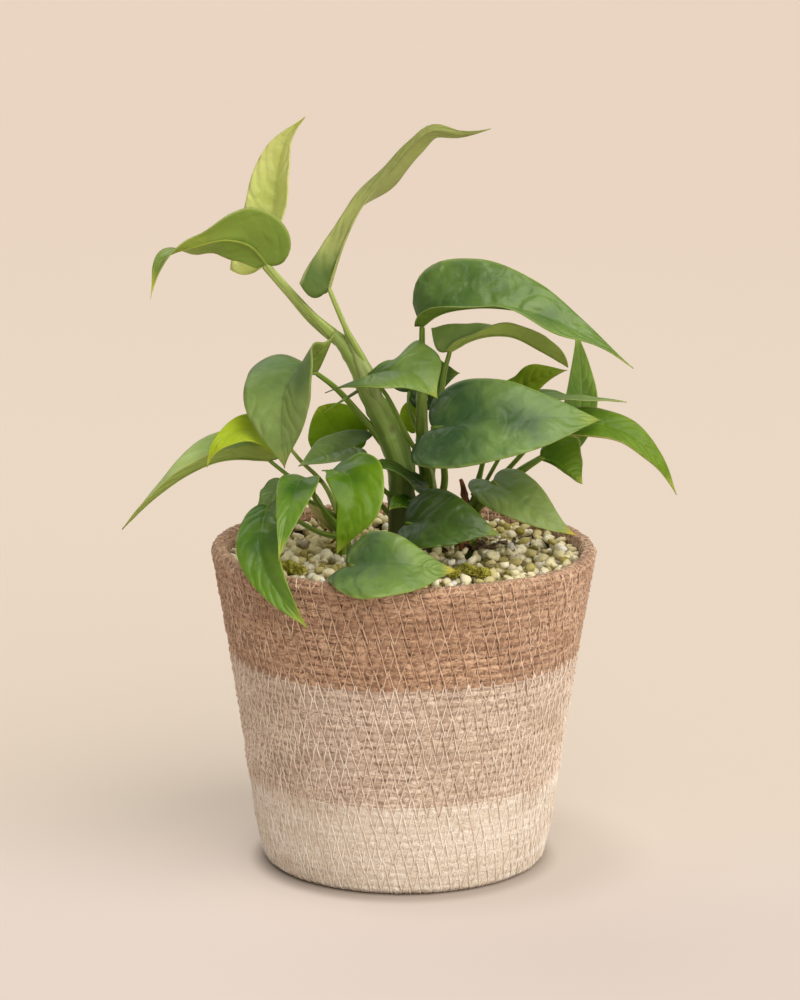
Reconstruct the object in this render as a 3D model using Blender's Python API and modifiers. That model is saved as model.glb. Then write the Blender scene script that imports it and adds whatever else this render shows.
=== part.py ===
"""Potted mini monstera in a stitched basket.

The object stands on z = 0 with the axis of its basket at x = y = 0.
The plant is four rooted cuttings: each leaf is one solid of blade and leaf stalk,
and its stalk ends a hair's breadth from the stem that carries it.
"""

from math import cos, pi, radians, sin
from random import Random

import bmesh
import bpy
import numpy as np
from mathutils import Matrix, Vector

# Every length below is in millimetres and is turned into metres by MM.
MM = 0.001
GAP = 0.3

# Basket: three bands of stitched cord on one flaring wall.
BASKET_HEIGHT = 126.7
BASE_RADIUS = 57.0
FLARE = 0.118
BELLY = 0.00024
WALL = 6.0
FLOOR = 5.0
CORNER = 4.0
FOOT_DRAW = 2.0
FOOT_TOP = 20.0
CREAM_TOP = 37.0
TAN_TOP = 85.0
TURNS = 36

# Waterproof lining, soil and gravel inside the basket.
LINING = 0.8
LINING_TOP = 119.0
SOIL_TOP = 106.0
GRAVEL_TOP = 118.6
PEBBLE_SIZE = 12.6
PEBBLE_SEED = 11

# Leaves.
BLADE = 0.7
ROWS = 8
COLUMNS = 3
SMALL_WIDTH = 14.0
SMALL_ROWS = 5
SMALL_COLUMNS = 2

STEMS = {
    "main_stem": dict(
        path=[(-2, 14, 108), (-1, 13, 141), (-1, 12, 153), (-6, 10, 170), (-13, 8, 184),
              (-20, 6, 200), (-31, 4, 213)],
        radii=[5.0, 5.0, 5.4, 5.7, 4.5, 3.8, 2.4]),
    "centre_stem": dict(
        path=[(13, 22, 108), (12, 20, 130), (10, 18, 144), (7, 12, 168), (7, 8.5, 184)],
        radii=[3.6, 3.4, 3.2, 2.5, 1.9]),
    "right_stem": dict(
        path=[(25, 21, 108), (26, 19, 130), (28, 16, 143)],
        radii=[3.4, 3.2, 2.4]),
    "left_stem": dict(
        path=[(-23, 10, 108), (-24, 9, 126), (-26, 6, 137)],
        radii=[3.2, 3.0, 2.2]),
}


def leaf(stem, midrib, stalk, face, width, left, right, lobes=(4, 4), halves=((1, 1),),
         points=((0, 0), (0, 0)), start=0.10, taper=1.35, wave=0.6, turn=0.0, girth=1.0):
    """Name the sizes of one leaf.

    midrib runs from the joint to the tip and stalk from the joint to the stem. face is the
    way the upper side looks, read along the leaf. left and right hold the slope of each half
    at the midrib and at the margin, in degrees, again read along the leaf. lobes is how far
    each half reaches back past the joint, points is how far its base corner is drawn out and
    back into a spike, and halves scales the two half widths.
    """
    return dict(stem=stem, midrib=midrib, stalk=stalk, face=face, width=width, left=left,
                right=right, lobes=lobes, halves=halves, points=points, start=start,
                taper=taper, wave=wave, turn=turn, girth=girth)


LEAVES = {
    "young_upright_leaf": leaf(
        "main_stem",
        [(-55, 15, 234), (-51, 20, 254), (-49, 20, 271), (-46, 17, 282), (-38, 9, 293)],
        [(-46, 13, 224), (-34, 10, 211), (-25, 7, 205)],
        [(-0.25, -0.95, 0.15)], 26, [(5, 5), (30, 20)], [(80, 75), (50, 40), (35, 30)],
        lobes=(5, 2), halves=((1, 1), (1, 1), (1.1, 1.1), (0.4, 0.4)), start=0.3, taper=1.15,
        girth=1.2),
    "young_hooked_leaf": leaf(
        "main_stem",
        [(-53, 0, 237), (-59, -3, 245), (-67, -7, 248), (-80, -10, 246), (-91, -12, 242),
         (-97, -16, 226)],
        [(-42, 1, 224), (-34, 3, 215), (-28, 4, 209)],
        [(0.1, 0.85, 0.5), (0, 0.7, 0.6), (0, 0.5, 0.9), (0, -0.3, 0.95), (-0.5, -0.8, 0.3)],
        36, [(0, 0), (30, 20), (30, 20), (0, 0)], [(0, -10), (0, 0), (0, 0)],
        lobes=(2, 0), halves=((0.9, 0.5), (0.88, 0.6), (0.38, 0.9), (0.9, 1.2), (1, 1)),
        start=0.025, taper=1.9, girth=1.5),
    "tall_twisted_leaf": leaf(
        "main_stem",
        [(-29, -2, 228), (-24, 2, 244), (-16, 4, 260), (-6, 2, 272), (3, -2, 283),
         (11, -6, 289.5), (21, -9, 288.5), (33, -12, 291)],
        [(-23, 0, 213), (-14, 4, 194), (-11, 7, 184)],
        [(-0.3, 0.9, 0.2), (-0.3, 0.9, 0.2), (-0.3, 0.9, 0.3), (0.1, 0.8, 0.5)], 22,
        [(80, 80), (80, 80), (30, 20), (10, 10), (20, 10)],
        [(10, -10), (60, 50), (75, 75), (60, 50), (20, 0)],
        lobes=(2, 6), points=((0, 0), (3, -3)), start=0.12, taper=1.3, girth=1.2,
        halves=((1, 1.1), (1, 0.7), (1, 0.5), (1, 0.45), (1, 0.45), (1, 0.7), (1, 0.8))),
    "high_arched_leaf": leaf(
        "centre_stem",
        [(7, 0, 213), (12, -4, 218), (26, -9, 222), (48, -12, 220.5), (68, -10, 212),
         (89, -4, 197)],
        [(7, 3, 204), (7, 6, 193), (7, 8.5, 182)],
        [(-0.4, -0.6, 0.5), (0, -0.6, 0.8), (0.1, -0.55, 0.8)], 39,
        [(10, 5), (20, 10), (20, 10)], [(75, 75), (55, 45), (25, 10), (40, 30)],
        lobes=(1, 0), start=0.03, taper=1.7, girth=1.4,
        halves=((1.2, 0.45), (1.08, 0.8), (0.95, 1), (0.85, 1), (0.8, 1))),
    "low_arched_leaf": leaf(
        "centre_stem",
        [(18, 6, 202), (22, 4, 205.5), (31, 2, 209), (41, 2, 209), (53, 3, 203), (64, 4, 196)],
        [(16, 8, 194), (14, 12, 175), (12, 15, 160), (10, 18, 148)],
        [(0, -0.3, 0.95)], 23, [(75, 60), (30, 0), (10, 0)], [(50, 60), (75, 80), (80, 80)],
        lobes=(5, 1), points=((6, -3), (0, 0)),
        halves=((1.1, 0.3), (0.55, 0.25), (0.3, 0.55), (0.3, 0.9), (0.5, 1.3)),
        start=0.05, taper=0.85, girth=1.2),
    "left_heart_leaf": leaf(
        "main_stem",
        [(-34, -4, 195), (-40, -10, 197), (-45, -17, 192), (-47, -21, 178), (-46, -18, 160)],
        [(-26, 4, 187), (-17, 8, 176), (-8, 10, 165)],
        [(-0.2, -0.5, 0.85), (-0.15, -0.8, 0.55), (0, -0.95, 0.2), (0, -0.98, 0)], 37,
        [(88, 88), (50, 30), (10, 10)], [(0, -10), (0, -35), (0, -15), (0, -15)],
        lobes=(0, 5), points=((11, -3), (0, 0)),
        halves=((0.5, 0.9), (1.1, 1.1), (1, 1.15), (1, 1.1)), girth=1.3),
    "saddle_leaf": leaf(
        "centre_stem",
        [(-13, -8, 195), (-5, -14, 198), (4, -18, 197), (10, -20, 192), (13, -20, 188)],
        [(-7, -1, 186), (2, 5, 167), (10, 12, 152), (10.5, 17, 143)],
        [(-0.2, -0.6, 0.8), (0, -0.6, 0.8), (0.3, -0.7, 0.6)], 34,
        [(10, -10)], [(40, 30), (25, 5), (10, -5)], lobes=(2, 4), points=((0, 0), (0, 11)),
        halves=((0.15, 1), (0.38, 1), (1.25, 1), (1.7, 1), (1.2, 1))),
    "large_front_leaf": leaf(
        "centre_stem",
        [(11, -12, 175), (25, -22, 180), (44, -26, 182), (62, -22, 181), (76, -16, 179)],
        [(13, -3, 169), (16, 6, 151), (13, 17, 136)],
        [(0, -0.75, 0.65)], 39, [(15, 0)], [(5, -5)], lobes=(3, 8), halves=((0.9, 1.05),),
        taper=1.2, girth=1.4),
    "front_centre_leaf": leaf(
        "main_stem",
        [(1, -20, 139), (14, -30, 141.5), (25, -34, 141.5), (37, -34, 137.5)],
        [(4, -8, 134), (2, 4, 129), (0, 12, 126)],
        [(0, -0.75, 0.65)], 32, [(10, -10)], [(15, 5), (5, -10)], lobes=(3, 1.5),
        halves=((1, 0.75), (1, 1)), girth=1.2),
    "right_low_leaf": leaf(
        "right_stem",
        [(35, 0, 151), (42, -8, 148), (51, -14, 143), (59, -18, 138), (67, -20, 134)],
        [(32, 7, 143), (28, 15, 134), (26, 19, 130)],
        [(0.1, -0.7, 0.7)], 22, [(10, 0)], [(5, -10)], lobes=(3, 8)),
    "front_low_leaf": leaf(
        "main_stem",
        [(-21, -64, 133), (-12, -71.5, 135.5), (-1, -74, 136), (10, -72, 134), (20, -68, 132)],
        [(-14, -42, 132), (-6, -10, 129), (-2, 12, 124)],
        [(0, -0.7, 0.7)], 30, [(10, -5)], [(22, 14), (10, -10)], lobes=(4, 3.5), girth=1.2,
        halves=((1, 0.85), (1, 1.3), (1, 1.3), (1, 1.1))),
    "inner_drooping_leaf": leaf(
        "left_stem",
        [(-34, -22, 156), (-39, -35, 160), (-42, -50, 156), (-45, -62, 147), (-47, -70, 136)],
        [(-35, -14, 149), (-31, -3, 140), (-25, 6, 131)],
        [(-0.1, -0.4, 0.9), (-0.1, -0.8, 0.6), (0, -0.95, 0.3)], 24,
        [(20, 10)], [(10, 0)], lobes=(1, 2), halves=((0.35, 0.5), (0.85, 0.7), (1, 0.7))),
    "rim_drooping_leaf": leaf(
        "left_stem",
        [(-52, -34, 149), (-54, -49, 142), (-53, -58, 133), (-47, -66, 123), (-36, -70, 110)],
        [(-43, -24, 142), (-31, -4, 131), (-24, 9, 127)],
        [(-0.2, -0.7, 0.7), (-0.2, -0.95, 0.3)], 26, [(30, 40), (30, 20)], [(10, 0)],
        lobes=(1, 1), halves=((0.6, 0.6), (0.8, 0.8), (1, 1)), start=0.04),
    "bright_front_leaf": leaf(
        "left_stem",
        [(-28, -16, 159), (-21, -28, 159), (-20, -36, 150), (-23, -38, 141), (-26, -36, 130)],
        [(-28, -9, 153), (-26, -1, 144), (-25, 6, 136)],
        [(-0.1, -0.5, 0.85), (0, -0.9, 0.4), (0, -0.98, 0.1)], 28,
        [(10, 0)], [(40, 30), (15, 0), (10, 0)], lobes=(0, 3),
        halves=((0.72, 0.3), (0.98, 0.7), (1.2, 0.6), (1.3, 0.5))),
    "far_left_leaf": leaf(
        "left_stem",
        [(-53, 4, 159), (-61, 0, 161), (-72, -5, 161), (-83, -9, 157), (-96, -10, 148),
         (-110, -8, 134)],
        [(-46, 5, 153), (-35, 7, 144), (-29, 8, 133), (-24, 9, 128)],
        [(0, -0.2, 1)], 26, [(45, 60)], [(55, 50), (20, 10), (0, 0)], lobes=(3, 3),
        halves=((0.7, 1),)),
    "left_yellow_leaf": leaf(
        "left_stem",
        [(-48, -3, 168), (-58, -10, 174), (-66, -16, 174), (-73, -20, 169), (-76, -20, 161)],
        [(-45, 0, 165), (-41, 5, 159), (-31, 14, 146), (-25, 10, 134)],
        [(-0.1, -0.7, 0.7)], 18, [(10, 0)], [(10, 0)], lobes=(3, 3),
        halves=((1, 1), (1, 0.6)), girth=0.9),
    "left_round_leaf": leaf(
        "main_stem",
        [(-23, 16, 161), (-28, 22, 169), (-34, 30, 175)],
        [(-21, 16, 155), (-13, 16, 143), (-2, 14, 131)],
        [(0, -0.9, 0.3)], 24, [(5, 0)], [(5, 0)], lobes=(3, 3), taper=0.8, girth=0.9),
    "left_grey_leaf": leaf(
        "main_stem",
        [(-20, 5, 164), (-29, -2, 163), (-35, -8, 162), (-41, -12, 160)],
        [(-16, 6, 157), (-9, 9, 147), (-1, 12, 139)],
        [(0, -0.5, 0.87)], 18, [(10, 0)], [(20, 0)], lobes=(3, 12), girth=0.9),
    "left_small_leaf": leaf(
        "left_stem",
        [(-47, -18, 155), (-52, -26, 150), (-58, -30, 143)],
        [(-41, -10, 148), (-32, 3, 140), (-25.5, 8, 134)],
        [(-0.3, -0.5, 0.8)], 12, [(10, 0)], [(10, 0)], lobes=(2, 2), girth=0.8),
    "stem_foot_leaf": leaf(
        "main_stem",
        [(9, 4, 148), (0, -2, 155), (-7, -8, 160), (-15, -12, 158)],
        [(9, 7, 143), (5, 10, 137), (0, 13, 133)],
        [(0, -0.3, 0.95)], 18, [(0, -20)], [(10, 0)], lobes=(2, 2), girth=0.9),
    "centre_dark_leaf": leaf(
        "centre_stem",
        [(2, 20, 183), (8, 21, 188), (16, 20, 190), (22, 18, 191)],
        [(2, 19, 178), (4, 17, 172), (8, 13, 165)],
        [(0, -0.9, 0.4)], 24, [(10, 0)], [(10, 0)], lobes=(3, 3), girth=0.9),
    "right_back_leaf": leaf(
        "right_stem",
        [(36, 10, 182), (45, 10, 187), (55, 8, 192), (64, 8, 194)],
        [(34, 13, 170), (31, 15, 155), (28, 16, 142)],
        [(0, -0.8, 0.5)], 20, [(10, 0)], [(10, 0)], lobes=(3, 3),
        halves=((0.4, 1), (0.5, 1), (1, 0.7), (0.9, 0.6)), wave=1.4),
    "right_upright_leaf": leaf(
        "right_stem",
        [(66, 12, 168), (69, 10, 179), (69, 8, 194), (67, 6, 211)],
        [(58, 13, 161), (46, 15, 153), (36, 18, 145), (27, 18, 137)],
        [(0.2, -0.9, 0.3)], 14, [(10, 0)], [(10, 0)], lobes=(3, 6)),
    "right_drooping_leaf": leaf(
        "right_stem",
        [(61, -7, 176), (74, -12, 177), (87, -14, 173), (97, -14, 164), (106, -10, 148)],
        [(52, 1, 168), (40, 10, 153), (28, 17, 140)],
        [(0, -0.6, 0.8)], 15, [(10, 0)], [(10, 0)], lobes=(3, 3)),
    "right_slim_leaf": leaf(
        "right_stem",
        [(53, -2, 187), (64, -8, 186), (76, -10, 186), (86, -10, 185)],
        [(48, 2, 180), (38, 8, 160), (31, 12, 146), (26.5, 17, 136)],
        [(0, -0.05, 1)], 10, [(10, 0)], [(10, 0)], lobes=(2, 2), girth=0.8),
    "right_hooked_leaf": leaf(
        "right_stem",
        [(54, 2, 160), (58, -1, 159.6), (62, -4, 157.6), (66, -6, 154.8), (69.5, -7, 151.6)],
        [(48, 5, 155), (39, 9, 146), (27, 17, 135)],
        [(0, -0.9, 0.3)], 26, [(-10, -10)], [(-20, -40)], lobes=(2, 0), taper=0.9,
        halves=((0.6, 0.12), (1.05, 0.12), (0.8, 0.15), (0.4, 0.3))),
    "small_lime_leaf": leaf(
        "centre_stem",
        [(5, 20, 169), (3, 21, 174), (2, 22, 179)],
        [(6, 20, 165), (8, 19, 158), (9, 17, 152)],
        [(0, -0.9, 0.3)], 10, [(0, 0)], [(0, 0)], lobes=(2, 2), taper=0.7, girth=0.7),
    "small_glossy_leaf": leaf(
        "main_stem",
        [(2, 2, 143), (-3, -2, 143), (-6, -5, 141)],
        [(3, 5, 141), (2, 8, 138), (-1, 13, 135)],
        [(0, -0.5, 0.8)], 9, [(0, 0)], [(0, 0)], lobes=(2, 2), girth=0.7),
    "dry_bract": leaf(
        "left_stem",
        [(-27, 13, 129), (-32, 14, 134), (-36, 15, 138), (-39, 15, 141)],
        [(-26, 12, 128), (-24, 10, 127)],
        [(0.3, -0.8, 0.4)], 6, [(20, 20)], [(20, 20)], lobes=(0, 0), start=0.3, taper=0.8,
        girth=0.8),
}

COLOURS = {
    "cream_cord": ("#DCC6A9", 0.9),
    "tan_cord": ("#C0A58C", 0.9),
    "brown_cord": ("#A97C60", 0.92),
    "plastic_film": ("#3B3A38", 0.5),
    "potting_soil": ("#3A2A1E", 1.0),
    "gravel": ("#C4C29C", 0.85),
    "leaf_green": ("#4F7F3E", 0.45),
    "young_leaf": ("#A3B84C", 0.5),
    "stem_green": ("#7E9A45", 0.5),
    "dry_bract": ("#C9B98A", 0.8),
}


def linear(code):
    """Turn a screen colour into the linear values that a material takes."""
    parts = [int(code[i:i + 2], 16) / 255 for i in (1, 3, 5)]
    return tuple(c / 12.92 if c < 0.04045 else ((c + 0.055) / 1.055) ** 2.4 for c in parts)


def material(name):
    """Return the named plain material, made once."""
    made = bpy.data.materials.get(name)
    if made:
        return made
    code, roughness = COLOURS[name]
    made = bpy.data.materials.new(name)
    made.use_nodes = True
    shader = made.node_tree.nodes["Principled BSDF"]
    shader.inputs["Base Color"].default_value = (*linear(code), 1)
    shader.inputs["Roughness"].default_value = roughness
    shader.inputs["Metallic"].default_value = 0
    return made


def clear_scene():
    """Remove every object and give back a collection for parts and one for cutters."""
    for old in list(bpy.data.objects):
        bpy.data.objects.remove(old, do_unlink=True)
    parts = bpy.data.collections.new("potted_mini_monstera")
    cutters = bpy.data.collections.new("cutters")
    for group in (parts, cutters):
        bpy.context.scene.collection.children.link(group)
    return parts, cutters


def add_object(name, mesh, group, look=None):
    """Link a mesh as a named object."""
    made = bpy.data.objects.new(name, mesh)
    group.objects.link(made)
    if look:
        mesh.materials.clear()
        mesh.materials.append(material(look))
    return made


def mesh_from(bm, name):
    """Turn a bmesh into a mesh with its faces looking out."""
    bmesh.ops.recalc_face_normals(bm, faces=bm.faces)
    mesh = bpy.data.meshes.new(name)
    bm.to_mesh(mesh)
    bm.free()
    return mesh


def evaluated_mesh(source):
    """Copy an object's mesh with its modifiers applied."""
    graph = bpy.context.evaluated_depsgraph_get()
    return bpy.data.meshes.new_from_object(source.evaluated_get(graph))


def boolean(target, tool, operation, solver="EXACT"):
    """Join or cut the target by the tool and apply it at once."""
    step = target.modifiers.new(operation.lower(), "BOOLEAN")
    step.operation = operation
    step.solver = solver
    if isinstance(tool, bpy.types.Collection):
        step.operand_type = "COLLECTION"
        step.collection = tool
    else:
        step.object = tool
    cut = evaluated_mesh(target)
    target.modifiers.remove(step)
    target.data = cut


def remove(objects):
    """Remove helper objects that a Boolean has used up."""
    for used in list(objects):
        bpy.data.objects.remove(used, do_unlink=True)


def smooth_path(points, steps):
    """Return steps + 1 places, evenly spread, on a smooth curve through the points."""
    p = np.array(points, float)
    run = np.linalg.norm(np.diff(p, axis=0), axis=1)
    knots = np.concatenate([[0], np.cumsum(run)])
    pull = np.diff(p, axis=0) / run[:, None]
    bend = np.zeros_like(p)
    weights = run[:-1] + run[1:]
    bend[1:-1] = (pull[:-1] * run[1:, None] + pull[1:] * run[:-1, None]) / weights[:, None]
    bend[0] = 1.5 * pull[0] - 0.5 * bend[1]
    bend[-1] = 1.5 * pull[-1] - 0.5 * bend[-2]
    places = []
    for along in np.linspace(0, knots[-1], steps + 1):
        i = min(int(np.searchsorted(knots, along, side="right")) - 1, len(run) - 1)
        t = (along - knots[i]) / run[i]
        places.append(
            (2 * t**3 - 3 * t**2 + 1) * p[i] + (t**3 - 2 * t**2 + t) * run[i] * bend[i]
            + (3 * t**2 - 2 * t**3) * p[i + 1] + (t**3 - t**2) * run[i] * bend[i + 1])
    return np.array(places)


def read_along(values, s):
    """Read a list of values, spread evenly from joint to tip, at the shares s."""
    v = np.atleast_2d(np.array(values, float))
    if len(v) == 1:
        return np.repeat(v, len(s), axis=0)
    knots = np.linspace(0, 1, len(v))
    i = np.clip(np.searchsorted(knots, s, side="right") - 1, 0, len(v) - 2)
    t = (s - knots[i]) / (knots[i + 1] - knots[i])
    t = (t * t * (3 - 2 * t))[:, None]
    return v[i] * (1 - t) + v[i + 1] * t


def unit(v):
    """Scale each row to length one."""
    return v / np.maximum(np.linalg.norm(v, axis=-1, keepdims=True), 1e-9)


def width_share(s, start, taper):
    """Share of the full width at s: round at the base, widest early, drawn out to the tip."""
    rise = 0.55
    widest = np.clip((rise - taper * start) / (rise + taper), 0, 1)
    return ((s + start) / (widest + start)) ** rise * ((1 - s) / (1 - widest)) ** taper


def blade_grid(sizes, rows, columns):
    """Place the points of a blade: one row across for each step from joint to tip."""
    s = np.linspace(0, 1, rows + 1)
    fine = smooth_path(sizes["midrib"], rows * 8)
    run = unit(np.gradient(fine, axis=0))[::8]
    midrib = fine[::8]
    face = unit(read_along(sizes["face"], s))
    up = unit(face - (face * run).sum(axis=1, keepdims=True) * run)
    side = np.cross(run, up)
    half = sizes["width"] / 2 * width_share(s, sizes["start"], sizes["taper"])
    scale = read_along(sizes["halves"], s)
    grid = np.zeros((rows + 1, 2 * columns + 1, 3))
    for j in range(-columns, columns + 1):
        t = abs(j) / columns
        which = 1 if j > 0 else 0
        slopes = np.radians(read_along(sizes["right" if j > 0 else "left"], s))
        spike = t**3 * (1 - s) ** 14
        out = t * half * scale[:, which] + sizes["points"][which][0] * spike
        shares = np.linspace(0, t, 9)[:-1]
        angles = slopes[:, :1] + (slopes[:, 1:] - slopes[:, :1]) * shares
        across = out * np.cos(angles).mean(axis=1)
        lift = out * np.sin(angles).mean(axis=1)
        reach = sizes["lobes"][which] * (1 - s) ** 3.5 * sin(0.72 * pi * t**0.8)
        reach = reach + sizes["points"][which][1] * spike
        phase = sizes["turn"] + (1.1 if j > 0 else 0.2)
        ripple = sizes["wave"] * t * t * np.sin(5 * pi * s + phase) * (1 - s)
        ripple = ripple * np.minimum(1, s * 6)
        sign = 1 if j > 0 else -1
        grid[:, j + columns] = (midrib + sign * across[:, None] * side
                                + (lift + ripple)[:, None] * up - reach[:, None] * run)
    return grid, up


def blade_solid(name, sizes, group):
    """Build a blade as an open sheet of triangles with Solidify on its underside."""
    small = sizes["width"] < SMALL_WIDTH
    rows = SMALL_ROWS if small else ROWS
    columns = SMALL_COLUMNS if small else COLUMNS
    grid, up = blade_grid(sizes, rows, columns)
    bm = bmesh.new()
    bmesh.ops.create_grid(bm, x_segments=2 * columns, y_segments=rows, size=0.5)
    for vert in bm.verts:
        j = round((vert.co.x + 0.5) * 2 * columns)
        i = round((vert.co.y + 0.5) * rows)
        vert.co = Vector(grid[i, j] * MM)
    bmesh.ops.triangulate(bm, faces=bm.faces, quad_method="SHORT_EDGE")
    bmesh.ops.remove_doubles(bm, verts=bm.verts, dist=0.00005)
    bm.normal_update()
    middle = min(bm.faces, key=lambda f: (f.calc_center_median()
                                          - Vector(grid[rows // 2, columns] * MM)).length)
    if middle.normal.dot(Vector(up[rows // 2])) < 0:
        bmesh.ops.reverse_faces(bm, faces=bm.faces)
    mesh = bpy.data.meshes.new(name)
    bm.to_mesh(mesh)
    bm.free()
    sheet = add_object(name, mesh, group)
    skin = sheet.modifiers.new("thickness", "SOLIDIFY")
    skin.thickness = BLADE * MM
    skin.offset = -1
    sheet.data = evaluated_mesh(sheet)
    sheet.modifiers.clear()
    return sheet


def tube(name, path, radii, group, resolution=2, grow=0.0):
    """Build a closed tube along a path of millimetre places with a radius at each."""
    shape = bpy.data.curves.new(name, "CURVE")
    shape.dimensions = "3D"
    shape.bevel_depth = MM
    shape.bevel_resolution = resolution
    shape.render_resolution_u = 0
    shape.use_fill_caps = True
    spline = shape.splines.new("POLY")
    spline.points.add(len(path) - 1)
    for point, place, radius in zip(spline.points, path, radii):
        point.co = (*(np.array(place) * MM), 1)
        point.radius = radius + grow
    rod = bpy.data.objects.new(name, shape)
    group.objects.link(rod)
    mesh = evaluated_mesh(rod)
    bpy.data.objects.remove(rod, do_unlink=True)
    bm = bmesh.new()
    bm.from_mesh(mesh)
    bmesh.ops.remove_doubles(bm, verts=bm.verts, dist=0.000001)
    return add_object(name, mesh_from(bm, name), group)


def stem_tube(name, group, grow=0.0):
    """Build one stem, or its cutter when it is grown."""
    sizes = STEMS[name]
    steps = 2 * (len(sizes["path"]) - 1)
    path = smooth_path(sizes["path"], steps)
    knots = np.linspace(0, 1, len(sizes["radii"]))
    radii = np.interp(np.linspace(0, 1, steps + 1), knots, sizes["radii"])
    return tube(name, path, radii, group, resolution=3, grow=grow)


def stalk_path(sizes, steps):
    """Places of a stalk from just inside the blade down to its stem, with their radii."""
    entry = smooth_path(sizes["midrib"], 16)[1]
    places = smooth_path([entry, sizes["midrib"][0], *sizes["stalk"]], steps)
    radii = np.linspace(0.75, 1.15, steps + 1) * sizes["girth"]
    return places, radii


def leaf_solid(name, sizes, group, cutters):
    """Fuse blade and stalk, then end the stalk a gap away from its stem."""
    blade = blade_solid(name, sizes, group)
    places, radii = stalk_path(sizes, 2 * len(sizes["stalk"]) + 1)
    stalk = tube(name + "_stalk", places, radii, group, resolution=1)
    boolean(blade, stalk, "UNION")
    remove([stalk])
    boolean(blade, cutters[sizes["stem"]], "DIFFERENCE")
    blade.data.materials.clear()
    blade.data.materials.append(material(leaf_look(name)))
    keep_largest(blade)
    return blade


def leaf_look(name):
    """Name the plain material of a leaf."""
    if name == "dry_bract":
        return "dry_bract"
    young = name.startswith("young") or name in ("left_yellow_leaf", "small_lime_leaf")
    return "young_leaf" if young else "leaf_green"


def keep_largest(target):
    """Drop what a cut has left loose."""
    bm = bmesh.new()
    bm.from_mesh(target.data)
    left = set(bm.verts)
    pieces = []
    while left:
        front = [left.pop()]
        piece = set(front)
        while front:
            for edge in front.pop().link_edges:
                for vert in edge.verts:
                    if vert in left:
                        left.discard(vert)
                        piece.add(vert)
                        front.append(vert)
        pieces.append(piece)
    biggest = max(pieces, key=len)
    loose = [v for piece in pieces if piece is not biggest for v in piece]
    bmesh.ops.delete(bm, geom=loose, context="VERTS")
    bm.to_mesh(target.data)
    bm.free()


def wall_radius(z):
    """Outer radius of the basket at height z: drawn in at the foot, then flaring."""
    drawn = FOOT_DRAW * max(0, 1 - z / FOOT_TOP) ** 2
    return BASE_RADIUS + FLARE * z + BELLY * z * z - drawn


def turned(name, profile, group, look, turns=TURNS):
    """Turn a closed profile of (radius, height) round the axis, or an open one that meets it."""
    bm = bmesh.new()
    verts = [bm.verts.new((r * MM, 0, z * MM)) for r, z in profile]
    for a, b in zip(verts, verts[1:]):
        bm.edges.new((a, b))
    if profile[0][0] > 0:
        bm.edges.new((verts[-1], verts[0]))
    mesh = bpy.data.meshes.new(name)
    bm.to_mesh(mesh)
    bm.free()
    made = add_object(name, mesh, group)
    screw = made.modifiers.new("turn", "SCREW")
    screw.steps = turns
    screw.render_steps = turns
    screw.use_merge_vertices = True
    screw.merge_threshold = 0.00001
    made.data = evaluated_mesh(made)
    made.modifiers.clear()
    bm = bmesh.new()
    bm.from_mesh(made.data)
    bmesh.ops.remove_doubles(bm, verts=bm.verts, dist=0.000005)
    bmesh.ops.recalc_face_normals(bm, faces=bm.faces)
    bm.to_mesh(made.data)
    bm.free()
    made.data.materials.clear()
    made.data.materials.append(material(look))
    return made


def basket_band(name, bottom, top, group, look, rows=2):
    """Build one ring of the basket wall between two heights."""
    heights = [top + (bottom - top) * i / rows for i in range(rows + 1)]
    outer = [(wall_radius(z), z) for z in heights]
    inner = [(wall_radius(z) - WALL, z) for z in reversed(heights)]
    return turned(name, outer + inner, group, look)


def build_basket(group):
    """Build the three bands: cream with the floor, tan, and brown with the round rim."""
    corner = [(wall_radius(CORNER) - CORNER * (1 - sin(a)), CORNER * (1 - cos(a)))
              for a in (radians(90), radians(55), radians(25), 0)]
    cream = ([(wall_radius(z), z) for z in (CREAM_TOP, FOOT_TOP, 11)] + corner
             + [(0, 0), (0, FLOOR), (BASE_RADIUS - WALL - 1, FLOOR),
                (wall_radius(14) - WALL, 14), (wall_radius(CREAM_TOP) - WALL, CREAM_TOP)])
    closed = cream[cream.index((0, FLOOR)):] + cream[:cream.index((0, FLOOR))]
    turned("basket_cream_band", closed, group, "cream_cord")
    basket_band("basket_tan_band", CREAM_TOP + GAP, TAN_TOP, group, "tan_cord")
    centre = BASKET_HEIGHT - WALL / 2
    rim = [(wall_radius(centre) - WALL / 2 + WALL / 2 * cos(a), centre + WALL / 2 * sin(a))
           for a in (radians(d) for d in (0, 45, 90, 135, 180))]
    foot = TAN_TOP + GAP
    profile = ([(wall_radius(foot) - WALL, foot)] + rim[::-1]
               + [(wall_radius(104), 104), (wall_radius(foot), foot)])
    turned("basket_brown_band", profile, group, "brown_cord")


def inner_radius(z):
    """Inner radius of the basket wall at height z, inside the corner of the floor."""
    return min(wall_radius(z) - WALL, BASE_RADIUS - WALL - 1 + max(0, z - FLOOR) * 0.9)


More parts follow.
